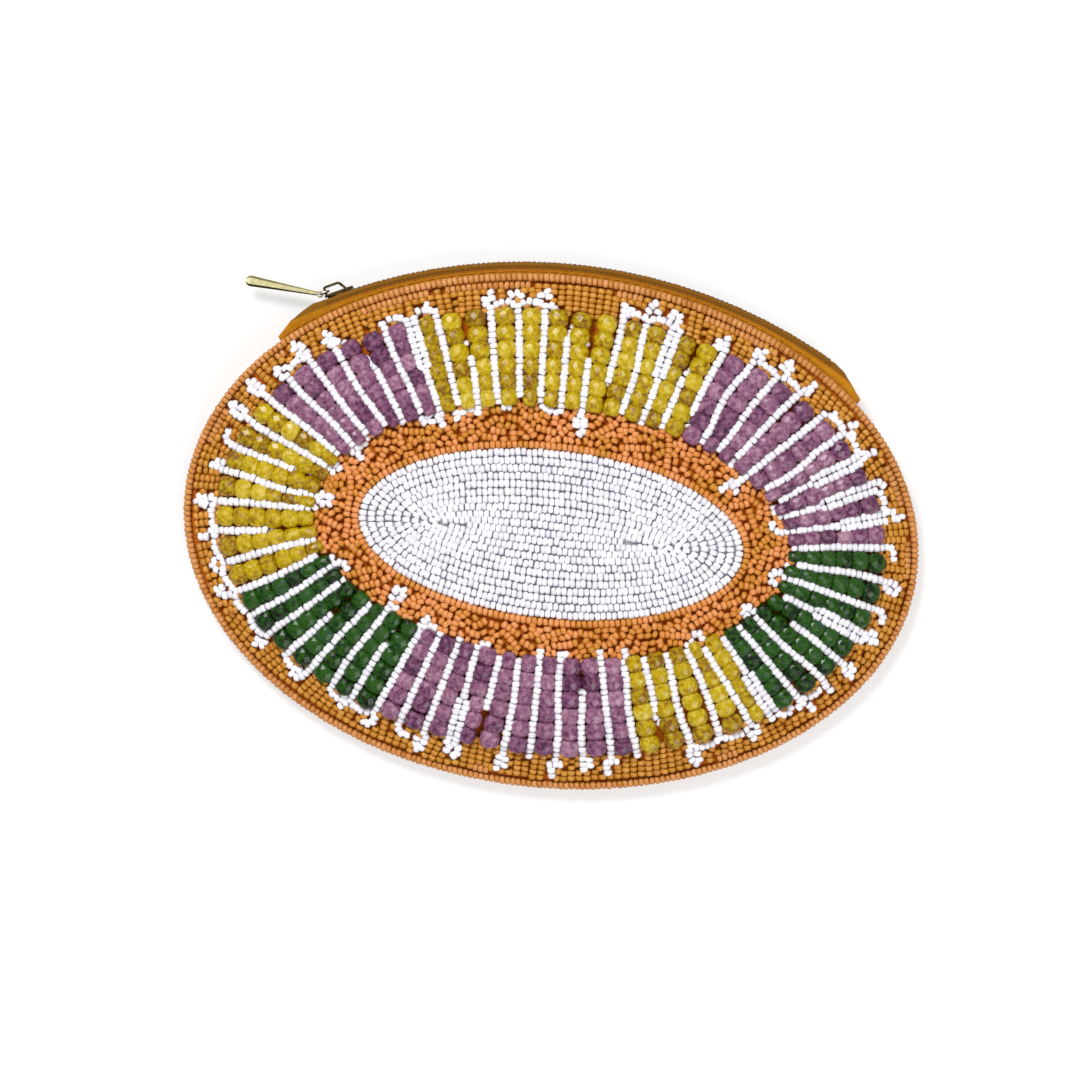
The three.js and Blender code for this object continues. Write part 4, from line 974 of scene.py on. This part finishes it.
# Inner field: peach and amber seed beads between the crystals and the white oval.
# One string follows the oval; the rest is filled with short strings that lie every way.
FIRST_STRING, FILL_BEFORE, FILL_PAST, FILL_STEP = 1.0, 1, 14, 0.5
rng = np.random.default_rng(47)
MIXED = ["#c18123", "#bd7a25", "#cb7f36", "#d68b4d", "#da8f53", "#d08144"]
mixed_glass = seed_glass("peach and amber seed glass", MIXED, clumps=0.55)
places = []
ring = along_ring(OVAL_HALF_LENGTH + FIRST_STRING, OVAL_HALF_HEIGHT + FIRST_STRING, -OVAL_DROP, BEAD_PITCH)
for x, y, heading, _ in zip(*ring):
    try_bead(x, y, heading + rng.normal(0, 0.1), 0.5)
depths = np.arange(BAND_INNER - FILL_BEFORE, BAND_INNER + FILL_PAST, FILL_STEP)
turns, depths = np.meshgrid(np.linspace(0, 2 * math.pi, 560), depths)
spots = np.stack(face_point(depths, turns), -1).reshape(-1, 2)
rng.shuffle(spots)
for x, y in spots:
    heading = 1.6 * math.sin(0.2 * x + 0.8) + 1.5 * math.sin(0.24 * y - 0.05 * x) + rng.normal(0, 0.12)
    for _ in range(rng.integers(3, 9)):
        if not try_bead(x, y, heading, 0.22):
            break
        x, y = x + STRING_PITCH * math.cos(heading), y + STRING_PITCH * math.sin(heading)
        heading += rng.normal(0, 0.1)
for x, y in spots:
    try_bead(x, y, rng.random() * math.pi, 0.36)
piece("inner_field_beads", strung(seed, places), mixed_glass, "inner_bead_field")

# Tape stitching: ochre thread that sews the front tape under the edge of the face, in short sunk stitches,
# and three brown runs of thread along the tape that hold the coil to it and show as a darker band.
STITCH, STITCH_PITCH, STITCH_OUT, STITCH_RISE, STITCH_SUNK, THREAD = 2.0, 2.7, 0.8, 0.16, 0.02, 0.16
RUN_INSETS, RUN_PAST, RUN_STEPS = (0.75, 1.2, 1.65), 1.4, 420
RUN_SUNK, RUN_RISE, RUN_THREAD = 0.03, 0.05, 0.15
solids = []
span = np.linspace(-0.5, 0.5, 6)
for angle in np.arange(-ZIP_HALF_ANGLE + 1, ZIP_HALF_ANGLE - 1, math.degrees(STITCH_PITCH / ZIP_RADIUS)):
    at = angle + span * math.degrees(STITCH / ZIP_RADIUS)
    height = TAPE_TOP + STITCH_RISE * np.cos(span * math.pi) - STITCH_SUNK
    solids.append(sweep(tube(zip_point(at, panel_edge(at) + STITCH_OUT, height), THREAD)))
run = np.linspace(COIL_FROM - RUN_PAST, CHAIN_HALF_ANGLE, RUN_STEPS)
height = TAPE_TOP - RUN_SUNK + RUN_RISE * np.sin(np.arange(RUN_STEPS) * 1.6)
for inset in RUN_INSETS:
    solids.append(sweep(tube(zip_point(run, ZIP_RADIUS - inset, height), RUN_THREAD)))
# The thread takes the same painted shade towards the chain as the tape.
ochre_thread = twill("ochre thread", ["#a8660c", "#b87418", "#c48426"], "#744a0e")
piece("tape_stitching", merged(solids), ochre_thread, None)

# Floor: a plain sheet of white paper that the pouch lies on.
# It keeps the pouch's soft shadow, looks white to the eye and shows as white in the metal and the glass.
FLOOR_HALF, FLOOR_DROP = 3.0, 0.0002
floor_look, tree, surface, _ = new_look("white paper floor")
feed(tree, surface, {"Base Color": linear("#f4f4f4"), "Roughness": 0.9})
rays = node(tree, "LightPath").outputs
seen = rays["Is Camera Ray"]
for ray in ("Is Transmission Ray", "Is Glossy Ray"):
    seen = node(tree, "Math", {0: seen, 1: rays[ray]}, operation="MAXIMUM").outputs[0]
lift = node(tree, "Math", {0: seen, 1: 0.5}, operation="MULTIPLY")
white = node(tree, "Emission", {"Color": linear("#ffffff"), "Strength": 1.0})
mixed = node(tree, "MixShader", {0: lift.outputs[0], 1: surface.outputs[0], 2: white.outputs[0]})
tree.links.new(mixed.outputs[0], tree.nodes["Material Output"].inputs["Surface"])
mesh = bpy.data.meshes.new("floor")
corners = [(x * FLOOR_HALF, y * FLOOR_HALF, 0) for x, y in ((-1, -1), (1, -1), (1, 1), (-1, 1))]
mesh.from_pydata(corners, [], [(0, 1, 2, 3)])
mesh.materials.append(floor_look)
floor = bpy.data.objects.new("floor", mesh)
floor.location.z = -FLOOR_DROP
bpy.context.scene.collection.objects.link(floor)

# Studio light: a bright even sky, with a broad key from the upper left
# and a weaker fill from the lower right.
world = bpy.context.scene.world or bpy.data.worlds.new("studio")
bpy.context.scene.world = world
world.use_nodes = True
backdrop = world.node_tree.nodes["Background"]
feed(world.node_tree, backdrop, {"Color": linear("#ffffff"), "Strength": 0.42})


def lamp(name, place, size, power):
    data = bpy.data.lights.new(name, "AREA")
    data.shape = "DISK"
    data.size = size
    data.energy = power
    made = bpy.data.objects.new(name, data)
    made.location = place
    made.rotation_euler = (-made.location).to_track_quat("-Z", "Y").to_euler()
    bpy.context.scene.collection.objects.link(made)


lamp("key", (-0.35, 0.5, 0.75), size=0.35, power=7.4)
lamp("fill", (0.4, -0.45, 0.7), size=0.6, power=4.2)

# Camera: straight above the face,
# turned so that the right end of the pouch is lower in the picture than the left end.
FRAME_WIDTH, DISTANCE, FACE_LEVEL, ROLL, SENSOR = 274.4, 900.0, 12.0, 6.28, 36.0
MIDDLE_X, MIDDLE_Y = -3.75, -1.47
lens = bpy.data.cameras.new("camera")
lens.sensor_width = SENSOR
lens.lens = SENSOR * DISTANCE / FRAME_WIDTH
camera = bpy.data.objects.new("camera", lens)
camera.location = (MIDDLE_X * MM, MIDDLE_Y * MM, (DISTANCE + FACE_LEVEL) * MM)
camera.rotation_euler = (0, 0, math.radians(ROLL))
bpy.context.scene.collection.objects.link(camera)
bpy.context.scene.camera = camera
bpy.context.scene.view_settings.view_transform = "Standard"
